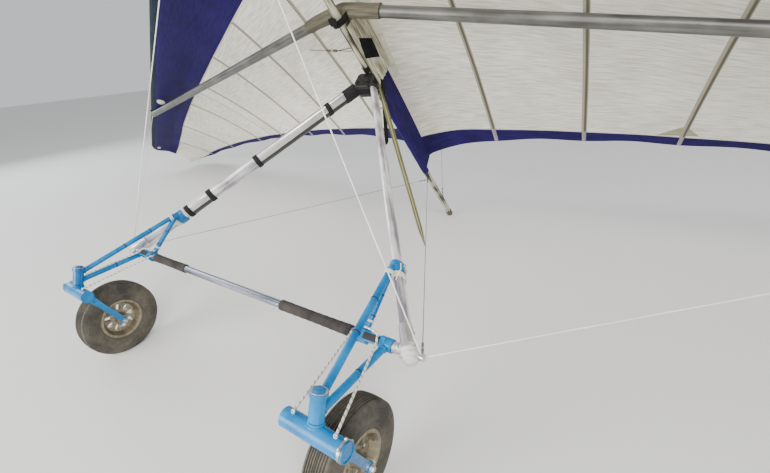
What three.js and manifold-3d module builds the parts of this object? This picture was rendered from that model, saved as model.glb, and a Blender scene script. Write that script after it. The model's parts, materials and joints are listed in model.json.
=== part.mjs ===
// Two-seat flex-wing hang glider on a pair of castering ground wheels, in millimetres.
// It is drawn in its own flying frame: X to its left, Y aft, Z up, the keel along Y at
// height 0 and the top of the control frame at Y = 0. The whole glider is then parked
// nose-up, resting on both wheels and on the tail end of the keel, with the origin at
// the bottom centre of its box. Left and right pieces are mirror images in X.
import * as THREE from 'three';
import { mergeVertices } from 'three/addons/utils/BufferGeometryUtils.js';
import Module from 'manifold-3d';

const wasm = await Module();
wasm.setup();

const rad = THREE.MathUtils.degToRad;
const lerp = THREE.MathUtils.lerp;
const V = (x, y, z) => new THREE.Vector3(x, y, z);
const SIDES = { left: 1, right: -1 };

// Driving dimensions
const GAP = 0.3;
const KEEL = { radius: 21, nose: -1480, tail: 1650 };
const KEEL_POCKET = {
  from: 165, to: 985, web: 8, tube: 5, below: 2, steps: 5, front: [[152, 75], [83, 135]], top: 75,
};
const TAIL_CAP = { radius: 25, cover: 50, end: 6 };
const WING = {
  noseY: -1500, tipX: 5000, sweep: rad(30), rise: 0.06,
  rootTrailing: { y: 950, z: 165 }, tipTrailing: { y: 2200, z: 670 }, trailingBend: { y: 1.6, z: 0.56 },
  camber: 0.045, camberAt: 0.35, cloth: 5, seamX: 2300, coverX: 170,
  tipRound: { from: 4500, cut: 200, droop: 200 }, rootDip: { deep: 40, half: 120, from: -700, to: 0 },
};
const LEADING = { radius: 26, start: 60 };
const POCKET = {
  root: 430, tip: 330, nose: 46, half: 36, clearance: 6, wireHole: 8, eyeHole: 15, strutHole: 52,
};
const NOSE_COVER = { thick: 3, lip: [[-40, 16], [-22, 30], [6, 39]], aft: [0.3, 0.62, 1], wireHole: 9 };
const NOSE_PLATE = {
  half: 150, waist: 30, front: -1495, frontCorner: -1435, backCorner: -1375, back: -1350, thick: 6,
};
const BAND = { width: 80, rootExtra: 95, fade: 450 };
const BATTENS = { x: [470, 1020, 1530, 2080, 2650, 3250, 3850, 4400], width: 44, depth: 5, splay: 200 };
const CROSSBAR = { radius: 30, hinge: V(25, -400, 58.5), endX: 3370, cover: 37, coverLength: 270 };
const KINGPOST = { radius: 16, y: -100, height: 1290, hole: 24, neck: 7, neckLength: 26 };
const APEX = { x: 60, z: -95, block: V(96, 90, 98) };
const FRAME = { halfWidth: 900, y: -200, z: -1440 };
const DOWNTUBE = { thick: 36, chord: 74, footGap: 45, wall: 6 };
const BASE = { radius: 17, end: 878, grip: 22, gripLeft: [310, 670], gripRight: [-670, -380] };
const CORNER = { block: V(40, 56, 52), socket: 90, neck: 7, eye: 46 };
const WIRE = {
  radius: 2.5, ball: 12, topBall: 14, rearY: 1060, frontY: -1400, upperFrontY: -1380, upperRearY: 1400,
};
const GEAR = {
  head: V(805, -440, -1680), lean: rad(30), headRadius: 24, headLength: 86, bore: 15.5,
  collar: 28, collarLength: 14, tube: 13, upperWeld: 10, lowerWeld: -28,
  clampAt: 0.8, clamp: V(52, 94, 74), clampFront: V(-8, -38, 0), link: { forward: 22, height: 34, thick: 12 },
  sleeve: { x: 815, length: 50, radius: 24 }, saddle: { x: 718, length: 44, radius: 26 },
};
const FORK = {
  stem: 15, washer: 1, boss: 25, crown: 30, crownLength: 230, crownDrop: 82, trail: 200, drop: 175,
  armTop: 98, armFoot: 70, armWide: 28, armThick: 10, footRadius: 18, footHalf: 7,
  nut: 21, nutHeight: 14,
};
const WHEEL = {
  radius: 200, halfWidth: 51, bead: 98, flange: 107, halfRim: 44, flangeThick: 6, axle: 8, hub: 27, halfHub: 56,
  web: 13, slots: 9, slotAt: 58, slotHalf: [11, 19], facets: 32, sidewall: 150, shoulder: [182, 46],
  treadEdge: 38,
  grooves: [24, 0, -24], groove: { half: 4, deep: 5 }, bolt: 13, boltHead: 12,
};
const HANG = { y: 110, halfWidth: 28, drop: 340, webbing: 4, width: 42 };

// Colours, roughness and metalness
const finish = (color, roughness, metalness = 0) =>
  new THREE.MeshStandardMaterial({ color, roughness, metalness });
const MATERIAL = {
  alloy: finish(0xd2d0cc, 0.35, 0.9),
  tube: finish(0x8d8c86, 0.45, 0.7),
  gear: finish(0x1491cd, 0.35, 0.1),
  sail: finish(0xdedad0, 0.8),
  navy: finish(0x261e6e, 0.75),
  sleeve: finish(0x73705f, 0.9),
  black: finish(0x1b1b1d, 0.9),
  foam: finish(0x37322d, 0.95),
  wire: finish(0xb9b7b0, 0.4, 0.8),
  tyre: finish(0x4a443f, 0.9),
  rim: finish(0xb5aa8c, 0.4, 0.7),
  plastic: finish(0x202022, 0.6),
};

// Solids
function closed(geometry) {
  const bare = geometry.clone();
  bare.deleteAttribute('normal');
  bare.deleteAttribute('uv');
  return mergeVertices(bare, 1e-3);
}

function toSolid(geometry) {
  const merged = closed(geometry);
  const index = Array.from(merged.index.array);
  const kept = [];
  for (let i = 0; i < index.length; i += 3) {
    const [a, b, c] = index.slice(i, i + 3);
    if (a !== b && b !== c && c !== a) kept.push(a, b, c);
  }
  return new wasm.Manifold(new wasm.Mesh({
    numProp: 3,
    vertProperties: new Float32Array(merged.attributes.position.array),
    triVerts: new Uint32Array(kept),
  }));
}

function toGeometry(solid) {
  const mesh = solid.getMesh();
  const geometry = new THREE.BufferGeometry();
  geometry.setAttribute('position', new THREE.BufferAttribute(new Float32Array(mesh.vertProperties), 3));
  geometry.setIndex(new THREE.BufferAttribute(new Uint32Array(mesh.triVerts), 1));
  return geometry;
}

const join = (...parts) => toGeometry(parts.map(toSolid).reduce((a, b) => a.add(b)));
const cut = (part, ...cutters) =>
  toGeometry(cutters.map(toSolid).reduce((a, b) => a.subtract(b), toSolid(part)));

function mirrored(geometry) {
  const copy = closed(geometry);
  copy.scale(-1, 1, 1);
  copy.setIndex(Array.from(copy.index.array).reverse());
  return copy;
}

// Shapes along a line from a to b: a round bar, and a bar of any section whose second
// axis keeps to the direction up as nearly as it can
function rod(a, b, radius, sides = 16) {
  const line = b.clone().sub(a);
  const geometry = new THREE.CylinderGeometry(radius, radius, line.length(), sides);
  geometry.translate(0, line.length() / 2, 0);
  geometry.applyQuaternion(new THREE.Quaternion().setFromUnitVectors(V(0, 1, 0), line.normalize()));
  return geometry.translate(a.x, a.y, a.z);
}

function bar(a, b, shape, up, segments = 6) {
  const line = b.clone().sub(a);
  const z = line.clone().normalize();
  const x = up.clone().cross(z).normalize();
  const y = z.clone().cross(x);
  const settings = { depth: line.length(), bevelEnabled: false, curveSegments: segments };
  const geometry = new THREE.ExtrudeGeometry(shape, settings);
  geometry.applyMatrix4(new THREE.Matrix4().makeBasis(x, y, z));
  return geometry.translate(a.x, a.y, a.z);
}

function ball(centre, radius) {
  return new THREE.SphereGeometry(radius, 8, 6).translate(centre.x, centre.y, centre.z);
}

function rectangle(width, height) {
  const shape = new THREE.Shape();
  shape.moveTo(-width / 2, -height / 2);
  shape.lineTo(width / 2, -height / 2);
  shape.lineTo(width / 2, height / 2);
  shape.lineTo(-width / 2, height / 2);
  return shape;
}

function oval(halfWidth, halfHeight) {
  const shape = new THREE.Shape();
  shape.absellipse(0, 0, halfWidth, halfHeight, 0, Math.PI * 2);
  return shape;
}

// A closed lathe along X, from a profile of [radius, x] points
function turned(profile, segments) {
  const points = profile.map(([r, x]) => new THREE.Vector2(r, x));
  points.push(points[0].clone());
  return new THREE.LatheGeometry(points, segments).rotateZ(-Math.PI / 2);
}

// A closed sheet over a grid: point(i, j) gives its top and bottom points
function sheet(columns, rows, point) {
  const position = [];
  const index = [];
  const at = (i, j, layer) => 2 * (i * rows + j) + layer;
  for (let i = 0; i < columns; i += 1) {
    for (let j = 0; j < rows; j += 1) point(i, j).forEach((p) => position.push(p.x, p.y, p.z));
  }
  const quad = (a, b, c, d) => index.push(a, b, c, a, c, d);
  for (let i = 0; i + 1 < columns; i += 1) {
    for (let j = 0; j + 1 < rows; j += 1) {
      quad(at(i, j, 0), at(i + 1, j, 0), at(i + 1, j + 1, 0), at(i, j + 1, 0));
      quad(at(i, j, 1), at(i, j + 1, 1), at(i + 1, j + 1, 1), at(i + 1, j, 1));
    }
    quad(at(i, 0, 1), at(i + 1, 0, 1), at(i + 1, 0, 0), at(i, 0, 0));
    quad(at(i, rows - 1, 0), at(i + 1, rows - 1, 0), at(i + 1, rows - 1, 1), at(i, rows - 1, 1));
  }
  for (let j = 0; j + 1 < rows; j += 1) {
    quad(at(0, j, 0), at(0, j + 1, 0), at(0, j + 1, 1), at(0, j, 1));
    quad(at(columns - 1, j, 1), at(columns - 1, j + 1, 1), at(columns - 1, j + 1, 0), at(columns - 1, j, 0));
  }
  const geometry = new THREE.BufferGeometry();
  geometry.setAttribute('position', new THREE.Float32BufferAttribute(position, 3));
  geometry.setIndex(index);
  return geometry;
}

// A closed loft of equal rings of points, with its first and last ring capped by a fan
function loft(rings) {
  const size = rings[0].length;
  const position = rings.flat().flatMap((p) => [p.x, p.y, p.z]);
  const index = [];
  for (let k = 0; k + 1 < rings.length; k += 1) {
    for (let i = 0; i < size; i += 1) {
      const [a, b] = [k * size + i, k * size + (i + 1) % size];
      index.push(a, b, b + size, a, b + size, a + size);
    }
  }
  const last = (rings.length - 1) * size;
  for (let i = 1; i + 1 < size; i += 1) index.push(0, i + 1, i, last, last + i, last + i + 1);
  const geometry = new THREE.BufferGeometry();
  geometry.setAttribute('position', new THREE.Float32BufferAttribute(position, 3));
  geometry.setIndex(index);
  return geometry;
}

// The wing surface on the left side: a straight swept leading edge, a trailing edge
// that curves back and up to the tip, and a camber that is highest a third of the way.
// Battens stand at their place on the trailing edge and fan a little outwards in front
const leading = (x) => V(x, WING.noseY + x * Math.tan(WING.sweep), WING.rise * x);

function trailing(x) {
  const share = x / WING.tipX;
  const past = Math.max(0, x - WING.tipRound.from) / (WING.tipX - WING.tipRound.from);
  const { rootTrailing: root, tipTrailing: tip, trailingBend: bend } = WING;
  const y = lerp(root.y, tip.y, share ** bend.y) - WING.tipRound.cut * past ** 2;
  return V(x, y, lerp(root.z, tip.z, share ** bend.z) - WING.tipRound.droop * past ** 2);
}

function sailHeight(x, y) {
  const [front, back] = [leading(x), trailing(x)];
  const chord = back.y - front.y;
  const share = (y - front.y) / chord;
  const run = share < WING.camberAt ? WING.camberAt : 1 - WING.camberAt;
  const arch = 1 - ((share - WING.camberAt) / run) ** 2;
  return lerp(front.z, back.z, share) + WING.camber * chord * arch - rootDip(x, y);
}

// How far the cloth dips along the keel: a bell across it that grows from nothing in front
function rootDip(x, y) {
  const { deep, half, from, to } = WING.rootDip;
  const grown = THREE.MathUtils.smoothstep(y, from, to);
  return deep * grown * Math.exp(-((x / half) ** 2));
}

const fan = (x) => BATTENS.splay * Math.sin(Math.PI * x / WING.tipX) ** 2;
const seam = WING.seamX;
const pocketWidth = (x) => lerp(POCKET.root, POCKET.tip, x / WING.tipX);
const pocketBack = (x) => leading(x).y + pocketWidth(x);
const bandFront = (x) => trailing(x).y - BAND.width - BAND.rootExtra * Math.exp(-x / BAND.fade);

// Columns of a sail piece from x0 to x1: an even net that is closer at the tip and
// shared by all pieces, with a pair of columns at each edge of every batten
const NET = [...Array(18).keys()].map((k) => 250 * (k + 1)).concat([80, seam, 4600, 4700, 4800, 4900]);

function sailColumns(x0, x1) {
  const plain = NET.filter((x) => BATTENS.x.every((b) => Math.abs(x - b) > BATTENS.width));
  const half = BATTENS.width / 2;
  const edges = BATTENS.x.flatMap((b) => [-1, 1].flatMap((s) => [b + s * half, b + s * (half + 1)]));
  const inside = [...plain, ...edges].filter((x) => x > x0 + 1 && x < x1 - 1);
  return [x0, ...inside, x1].sort((p, q) => p - q);
}

function sailPiece(x0, x1, front, back, rows, fanned = true) {
  const columns = sailColumns(x0, x1);
  const ribbed = (x) => BATTENS.x.some((b) => Math.abs(x - b) <= BATTENS.width / 2 + 0.1);
  return sheet(columns.length, rows, (i, j) => {
    const share = j / (rows - 1);
    const x = columns[i] + (fanned ? fan(columns[i]) * (1 - share) : 0);
    const y = lerp(front(x), back(x), share);
    const z = sailHeight(x, y);
    const below = WING.cloth / 2 + (ribbed(columns[i]) ? BATTENS.depth : 0);
    return [V(x, y, z + WING.cloth / 2), V(x, y, z - below)];
  });
}

// The leading-edge pocket: round in front of its tube and tapering aft to the sail
function pocketRing(x) {
  const front = leading(x);
  const width = pocketWidth(x);
  const upper = (d) => sailHeight(x, front.y + d) - front.z + WING.cloth / 2;
  const lower = upper(width) - WING.cloth;
  const { nose, half } = POCKET;
  const outline = [
    [width, lower], [width * 0.5, lerp(-half, lower, 0.42)], [14, -half],
    [-22, -half * 0.8], [-40, -half * 0.42],
    [-nose, 0], [-40, half * 0.42], [-22, half * 0.8], [6, half],
    [width * 0.3, Math.max(upper(width * 0.3), half + 4)],
    [width * 0.62, upper(width * 0.62)], [width, upper(width)],
  ];
  return outline.reverse().map(([d, z]) => V(x, front.y + d, front.z + z));
}

// Pieces of the airframe
const keelRod = (extra = 0, from = KEEL.nose, to = KEEL.tail) =>
  rod(V(0, from, 0), V(0, to, 0), KEEL.radius + extra, 20);
const rearTang = V(0, WIRE.rearY, -KEEL.radius - 9);
const upperFrontTang = V(0, WIRE.upperFrontY, KEEL.radius + 6);
const upperRearTang = V(0, WIRE.upperRearY, KEEL.radius + 6);
const noseTang = V(0, WIRE.frontY, -KEEL.radius - GAP - NOSE_PLATE.thick);
const mast = V(0, KINGPOST.y, KINGPOST.height);
const tubeEnd = leading(WING.tipX - 20);
const leadingDirection = tubeEnd.clone().sub(leading(0)).normalize();
const leadingRod = (extra = 0) => rod(
  leading(LEADING.start).addScaledVector(leadingDirection, -extra),
  tubeEnd.clone().addScaledVector(leadingDirection, extra), LEADING.radius + extra, 16,
);
const junction = leading(CROSSBAR.endX);
const crossbarEnd = junction.clone().add(V(0, 0, -(LEADING.radius + CROSSBAR.radius + GAP) - 1.5));
const upperSideTang = junction.clone().add(V(0, 0, LEADING.radius + 6));
const lowerSideTang = crossbarEnd.clone().add(V(0, 0, -CROSSBAR.radius - 6));
const apexTop = V(APEX.x, 0, APEX.z);
const corner = V(FRAME.halfWidth, FRAME.y, FRAME.z);
const cornerTang = corner.clone().add(V(CORNER.eye, 0, 0));
const downDirection = corner.clone().sub(apexTop).normalize();
const downFoot = corner.clone().addScaledVector(downDirection, -DOWNTUBE.footGap);
const downtubeBar = (extra = 0) => bar(
  apexTop.clone().addScaledVector(downDirection, -extra), downFoot.clone().addScaledVector(downDirection, extra),
  oval(DOWNTUBE.thick / 2 + extra, DOWNTUBE.chord / 2 + extra), V(0, 1, 0), 8,
);
const baseRod = (extra = 0) => rod(
  V(-BASE.end - extra, FRAME.y, FRAME.z), V(BASE.end + extra, FRAME.y, FRAME.z), BASE.radius + extra, 16,
);

function wire(a, b, trimA, trimB) {
  const direction = b.clone().sub(a).normalize();
  return rod(
    a.clone().addScaledVector(direction, trimA + GAP), b.clone().addScaledVector(direction, -trimB - GAP),
    WIRE.radius, 6,
  );
}

function crossbar() {
  const direction = crossbarEnd.clone().sub(CROSSBAR.hinge).normalize();
  const inner = CROSSBAR.hinge.clone();
  const outer = crossbarEnd.clone().addScaledVector(direction, CROSSBAR.radius * 0.4);
  const plug = outer.clone().addScaledVector(direction, 26);
  return join(rod(inner, outer, CROSSBAR.radius, 20),
    rod(outer.clone().addScaledVector(direction, -4), plug, 22, 20),
    ball(lowerSideTang, WIRE.ball));
}

function crossbarGrown(extra) {
  const direction = crossbarEnd.clone().sub(CROSSBAR.hinge).normalize();
  const end = crossbarEnd.clone().addScaledVector(direction, 60);
  return rod(CROSSBAR.hinge.clone(), end, CROSSBAR.radius + extra, 20);
}

function crossbarCover() {
  const half = (side) => {
    const end = crossbarEnd.clone().sub(CROSSBAR.hinge).setLength(CROSSBAR.coverLength).add(CROSSBAR.hinge);
    const start = V(-1, CROSSBAR.hinge.y, CROSSBAR.hinge.z);
    const body = rod(start, end, CROSSBAR.cover, 20);
    return side > 0 ? body : mirrored(body);
  };
  return cut(join(half(1), half(-1)), crossbarGrown(GAP), mirrored(crossbarGrown(GAP)));
}

function nosePlate() {
  const { half, waist, front, frontCorner, backCorner, back, thick } = NOSE_PLATE;
  const shape = new THREE.Shape();
  [[-waist, front], [waist, front], [half, frontCorner], [half, backCorner], [waist, back], [-waist, back],
    [-half, backCorner], [-half, frontCorner]]
    .forEach(([x, y], i) => (i ? shape.lineTo(x, y) : shape.moveTo(x, y)));
  const plate = new THREE.ExtrudeGeometry(shape, { depth: thick, bevelEnabled: false });
  plate.translate(0, 0, -KEEL.radius - GAP - thick);
  return cut(join(plate, ball(noseTang, WIRE.ball)), keelRod(GAP), leadingRod(GAP), mirrored(leadingRod(GAP)));
}

function noseCover() {
  const across = [-1, -0.5, 0, 0.5, 1].map((t) => t * (WING.coverX - GAP));
  const { thick, lip, aft, wireHole } = NOSE_COVER;
  const cloth = sheet(across.length, lip.length + aft.length, (i, j) => {
    const x = Math.abs(across[i]);
    const front = leading(x);
    const [run, lift] = j < lip.length ? lip[j] : [aft[j - lip.length] * pocketWidth(x), 0];
    const z = j < lip.length ? front.z + lift : sailHeight(x, front.y + run) + WING.cloth / 2;
    const top = V(across[i], front.y + run, Math.max(z, front.z + lift));
    return [top, top.clone().add(V(0, 0, -thick))];
  });
  return cut(cloth, rod(upperFrontTang, mast, wireHole, 12), ball(upperFrontTang, WIRE.ball + 3));
}

function apexBlock() {
  const top = -KEEL.radius - GAP;
  const section = rectangle(APEX.block.x, APEX.block.y);
  const block = bar(V(0, 0, top - APEX.block.z), V(0, 0, top), section, V(0, 1, 0));
  return cut(block, downtubeBar(GAP), mirrored(downtubeBar(GAP)));
}

function cornerBracket() {
  const socket = bar(
    corner.clone().addScaledVector(downDirection, -CORNER.socket), corner,
    oval(DOWNTUBE.thick / 2 + DOWNTUBE.wall, DOWNTUBE.chord / 2 + DOWNTUBE.wall), V(0, 1, 0), 8,
  );
  const { x, y, z } = CORNER.block;
  const outside = V(x / 2, 0, 0);
  const block = bar(corner.clone().sub(outside), corner.clone().add(outside), rectangle(z, y), V(0, 1, 0));
  const neck = rod(corner, cornerTang, CORNER.neck, 8);
  return cut(join(socket, block, neck, ball(cornerTang, WIRE.topBall)), downtubeBar(GAP), baseRod(GAP));
}

function keelPocket() {
  const { from, to, front, web: thick, tube, below, steps } = KEEL_POCKET;
  const outline = new THREE.Shape();
  const top = (y) => sailHeight(0, y) - WING.cloth / 2 - below;
  outline.moveTo(from, 0);
  outline.lineTo(to, 0);
  for (let k = 0; k <= steps; k += 1) {
    const y = lerp(WING.rootTrailing.y - below, KEEL_POCKET.top, k / steps);
    outline.lineTo(y, top(y));
  }
  [...front].reverse().forEach(([y, z]) => outline.lineTo(y, z));
  const web = new THREE.ExtrudeGeometry(outline, { depth: thick, bevelEnabled: false });
  web.applyMatrix4(new THREE.Matrix4().makeBasis(V(0, 1, 0), V(0, 0, 1), V(1, 0, 0)));
  web.translate(-thick / 2, 0, 0);
  return cut(join(web, keelRod(tube, from, to)), keelRod(GAP));
}

// The hang loop, upright in the parked glider: its bight lies on the sloping keel
function hangLoop(slope) {
  const half = HANG.width / 2;
  const top = (KEEL.radius + half * Math.sin(slope)) / Math.cos(slope) + 2 * GAP;
  const outline = (grow) => {
    const shape = new THREE.Shape();
    const [w, up, down] = [HANG.halfWidth + grow, top + grow, -HANG.drop - grow];
    shape.moveTo(-w, down + w);
    shape.absarc(0, down + w, w, Math.PI, Math.PI * 2);
    shape.lineTo(w, up);
    shape.lineTo(-w, up);
    return shape;
  };
  const body = bar(V(0, -half, 0), V(0, half, 0), outline(HANG.webbing), V(0, 0, 1), 4);
  return cut(body, bar(V(0, -half - 1, 0), V(0, half + 1, 0), outline(0), V(0, 0, 1), 4));
}

// Ground gear: one welded frame a side, with its castering fork and wheel
const headAxis = V(0, -Math.sin(GEAR.lean), Math.cos(GEAR.lean));
const alongHead = (distance) => GEAR.head.clone().addScaledVector(headAxis, distance);
const clampCentre = apexTop.clone().lerp(corner, GEAR.clampAt);

function gearFrame() {
  const { headLength, tube, sleeve, saddle, clamp, link: plate } = GEAR;
  const baseAt = (x) => V(x, FRAME.y, FRAME.z);
  const onBase = ({ x, length, radius }) => rod(baseAt(x - length / 2), baseAt(x + length / 2), radius, 16);
  const head = rod(alongHead(-headLength / 2), alongHead(headLength / 2), GEAR.headRadius, 20);
  const headEnd = headLength / 2;
  const collar = rod(alongHead(headEnd - GEAR.collarLength), alongHead(headEnd), GEAR.collar, 20);
  const clampBlock = bar(
    clampCentre.clone().addScaledVector(downDirection, -clamp.z / 2),
    clampCentre.clone().addScaledVector(downDirection, clamp.z / 2),
    oval(clamp.x / 2, clamp.y / 2), V(0, 1, 0), 8,
  );
  const clampFront = clampCentre.clone().add(GEAR.clampFront);
  const members = [
    rod(alongHead(GEAR.upperWeld), clampFront, tube, 12),
    rod(clampFront, baseAt(saddle.x), tube, 12),
    rod(alongHead(GEAR.lowerWeld), baseAt(sleeve.x), tube, 12),
  ];
  const linkAt = (x) => baseAt(x).add(V(0, -plate.forward, 0));
  const link = bar(linkAt(saddle.x), linkAt(sleeve.x), rectangle(plate.height, plate.thick), V(0, 1, 0));
  const welded = join(head, collar, clampBlock, ...members, link, onBase(sleeve), onBase(saddle));
  const bore = rod(alongHead(-headLength), alongHead(headLength), GEAR.bore, 16);
  return cut(welded, downtubeBar(GAP), baseRod(GAP), bore);
}

// Fork, in its own frame: the head axis is Z and the head's centre is the origin
const axleAt = V(0, FORK.trail, -FORK.crownDrop - FORK.drop);

function fork() {
  const crownAt = V(0, 0, -FORK.crownDrop);
  const reach = GEAR.headLength / 2;
  const outer = V(FORK.crownLength / 2, 0, 0);
  const crown = rod(crownAt.clone().sub(outer), crownAt.clone().add(outer), FORK.crown, 20);
  const parts = [
    crown,
    rod(crownAt, V(0, 0, -reach - FORK.washer), FORK.boss, 20),
    rod(crownAt, V(0, 0, reach + FORK.washer + 2), FORK.stem, 16),
    rod(V(0, 0, reach + FORK.washer), V(0, 0, reach + FORK.washer + FORK.nutHeight), FORK.nut, 6),
  ];
  for (const s of [-1, 1]) {
    const foot = axleAt.clone().add(V(s * FORK.armFoot, 0, 0));
    const top = crownAt.clone().add(V(s * FORK.armTop, 0, 0));
    parts.push(bar(top, foot, rectangle(FORK.armThick, FORK.armWide), V(0, 1, 1)));
    const boss = V(FORK.footHalf, 0, 0);
    parts.push(rod(foot.clone().sub(boss), foot.clone().add(boss), FORK.footRadius, 16));
  }
  const half = V(FORK.crownLength / 2, 0, 0);
  const bore = rod(axleAt.clone().sub(half), axleAt.clone().add(half), WHEEL.axle + GAP, 12);
  return cut(join(...parts), bore);
}

function axle() {
  const end = FORK.armFoot + FORK.footHalf + GAP;
  const { axle: r, bolt, boltHead } = WHEEL;
  const half = [[r, end], [bolt, end], [bolt, end + boltHead], [0, end + boltHead]];
  return turned([...half.map(([radius, x]) => [radius, -x]).reverse(), ...half], 12);
}

function rim() {
  const { bead, flange, halfRim, hub, halfHub, web, axle: r } = WHEEL;
  const lip = halfRim - WHEEL.flangeThick;
  const half = [[r + GAP, halfHub], [hub - 4, halfHub], [hub + 4, web], [bead - 16, web],
    [bead - 7, halfRim], [flange, halfRim],
    [flange, lip], [bead, lip]];
  const other = half.map(([radius, x]) => [radius, -x]).reverse();
  const wheel = turned([...half, ...other].reverse(), WHEEL.facets);
  const slots = Array.from({ length: WHEEL.slots }, (_, k) => {
    const [a, b] = [-halfRim, halfRim].map((x) => V(x, 0, WHEEL.slotAt));
    const slot = bar(a, b, oval(...WHEEL.slotHalf), V(0, 0, 1), 3);
    return slot.rotateX(k * Math.PI * 2 / WHEEL.slots);
  });
  return cut(wheel, ...slots);
}

function tyre() {
  const { radius, halfWidth, bead, flange, halfRim, groove } = WHEEL;
  const lip = halfRim - WHEEL.flangeThick - GAP;
  const cutAt = (x) => [[radius, x + groove.half], [radius - groove.deep, x], [radius, x - groove.half]];
  const side = [[bead + GAP, lip], [flange + GAP, lip], [flange + 4, halfRim + 1], [WHEEL.sidewall, halfWidth],
    WHEEL.shoulder, [radius - 3, WHEEL.treadEdge]];
  const tread = WHEEL.grooves.flatMap(cutAt);
  const other = side.map(([r, x]) => [r, -x]).reverse();
  return turned([...side, ...tread, ...other].reverse(), WHEEL.facets);
}

// Assembly
const glider = new THREE.Group();

function add(name, geometry, material, parent = glider) {
  const mesh = new THREE.Mesh(geometry, material);
  mesh.name = name;
  parent.add(mesh);
  return mesh;
}

// One left piece and its mirror image
function addPair(name, geometry, material) {
  add(`${name}_left`, geometry, material);
  add(`${name}_right`, mirrored(geometry), material);
}

const keelEyes = [rearTang, upperFrontTang, upperRearTang].map((at) => ball(at, WIRE.ball));
add('keel', join(keelRod(), ...keelEyes), MATERIAL.alloy);
const capRod = keelRod(TAIL_CAP.radius - KEEL.radius, KEEL.tail - TAIL_CAP.cover, KEEL.tail + TAIL_CAP.end);
add('keel_tail_cap', cut(capRod, keelRod(GAP, 0, KEEL.tail + GAP)), MATERIAL.plastic);
add('nose_plate', nosePlate(), MATERIAL.alloy);
add('nose_cover', noseCover(), MATERIAL.navy);
addPair('leading_edge', join(leadingRod(), ball(upperSideTang, WIRE.ball)), MATERIAL.tube);
addPair('crossbar', crossbar(), MATERIAL.tube);
add('crossbar_cover', crossbarCover(), MATERIAL.sleeve);
const kingpostFoot = V(0, KINGPOST.y, KEEL.radius + GAP);
const kingpostHole = rod(kingpostFoot, mast, KINGPOST.hole, 12);
const kingpostTop = mast.clone().add(V(0, 0, -KINGPOST.neckLength));
add('kingpost', join(rod(kingpostFoot, kingpostTop, KINGPOST.radius, 16),
  rod(kingpostFoot, mast, KINGPOST.neck, 12),
  ball(mast, WIRE.topBall)), MATERIAL.alloy);
add('apex_bracket', apexBlock(), MATERIAL.black);
addPair('downtube', downtubeBar(), MATERIAL.alloy);
add('base_tube', baseRod(), MATERIAL.alloy);
for (const [side, [from, to]] of Object.entries({ left: BASE.gripLeft, right: BASE.gripRight })) {
  const ring = [[BASE.radius + GAP, from], [BASE.grip, from], [BASE.grip, to], [BASE.radius + GAP, to]];
  const grip = add(`base_grip_${side}`, turned(ring, 16), MATERIAL.foam);
  grip.position.set(0, FRAME.y, FRAME.z);
}
addPair('corner_bracket', cornerBracket(), MATERIAL.alloy);

const upperSideWire = rod(upperSideTang, mast, POCKET.wireHole, 12);
const pocketX = [WING.coverX, 900, 1700, 2500, 3300, 4100, WING.tipX];
addPair('leading_edge_pocket', cut(loft(pocketX.map(pocketRing)), leadingRod(GAP),
  crossbarGrown(POCKET.clearance), rod(junction, lowerSideTang, POCKET.strutHole, 20),
  upperSideWire, ball(upperSideTang, POCKET.eyeHole)), MATERIAL.navy);
const afterPocket = (x) => pocketBack(x) + GAP;
const innerSail = sailPiece(GAP / 2, seam - GAP / 2, afterPocket, bandFront, 7);
addPair('sail_inner', cut(innerSail, kingpostHole), MATERIAL.sail);
addPair('sail_outer', sailPiece(seam + GAP / 2, WING.tipX, afterPocket, bandFront, 7), MATERIAL.sail);
const bandStart = (x) => bandFront(x) + GAP;
const band = sailPiece(GAP / 2, WING.tipX, bandStart, (x) => trailing(x).y, 2, false);
addPair('trailing_band', band, MATERIAL.navy);
add('keel_pocket', keelPocket(), MATERIAL.navy);

const { ball: small, topBall: big } = WIRE;
addPair('front_wire', wire(noseTang, cornerTang, small, big), MATERIAL.wire);
addPair('side_wire', wire(lowerSideTang, cornerTang, small, big), MATERIAL.wire);
addPair('rear_wire', wire(rearTang, cornerTang, small, big), MATERIAL.wire);
addPair('upper_side_wire', wire(upperSideTang, mast, small - 0.6, big), MATERIAL.wire);
add('upper_front_wire', wire(upperFrontTang, mast, small, big), MATERIAL.wire);
add('upper_rear_wire', wire(upperRearTang, mast, small, big), MATERIAL.wire);

addPair('gear_frame', gearFrame(), MATERIAL.gear);
for (const [side, sign] of Object.entries(SIDES)) {
  const swivel = new THREE.Group();
  swivel.position.set(sign * GEAR.head.x, GEAR.head.y, GEAR.head.z);
  swivel.rotation.x = GEAR.lean;
  glider.add(swivel);
  add(`fork_${side}`, fork(), MATERIAL.gear, swivel);
  const wheel = new THREE.Group();
  wheel.position.copy(axleAt);
  swivel.add(wheel);
  add(`axle_${side}`, axle(), MATERIAL.alloy, wheel);
  add(`rim_${side}`, rim(), MATERIAL.rim, wheel);
  add(`tyre_${side}`, tyre(), MATERIAL.tyre, wheel);
}

// Parked attitude: the nose-up turn that brings the wheels and the keel's tail end to
// one level, from the axle's place and the lower edge of the tail cap
const axleY = GEAR.head.y + axleAt.y * Math.cos(GEAR.lean) - axleAt.z * Math.sin(GEAR.lean);
const axleZ = GEAR.head.z + axleAt.y * Math.sin(GEAR.lean) + axleAt.z * Math.cos(GEAR.lean);
const run = KEEL.tail + TAIL_CAP.end - axleY;
const height = -TAIL_CAP.radius - axleZ;
const noseUp = Math.asin(WHEEL.radius / Math.hypot(run, height)) + Math.atan2(height, run);
glider.rotation.x = -noseUp;

const loopHanger = new THREE.Group();
loopHanger.position.set(0, HANG.y, 0);
loopHanger.rotation.x = noseUp;
glider.add(loopHanger);
add('hang_loop', hangLoop(noseUp), MATERIAL.black, loopHanger);

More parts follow.
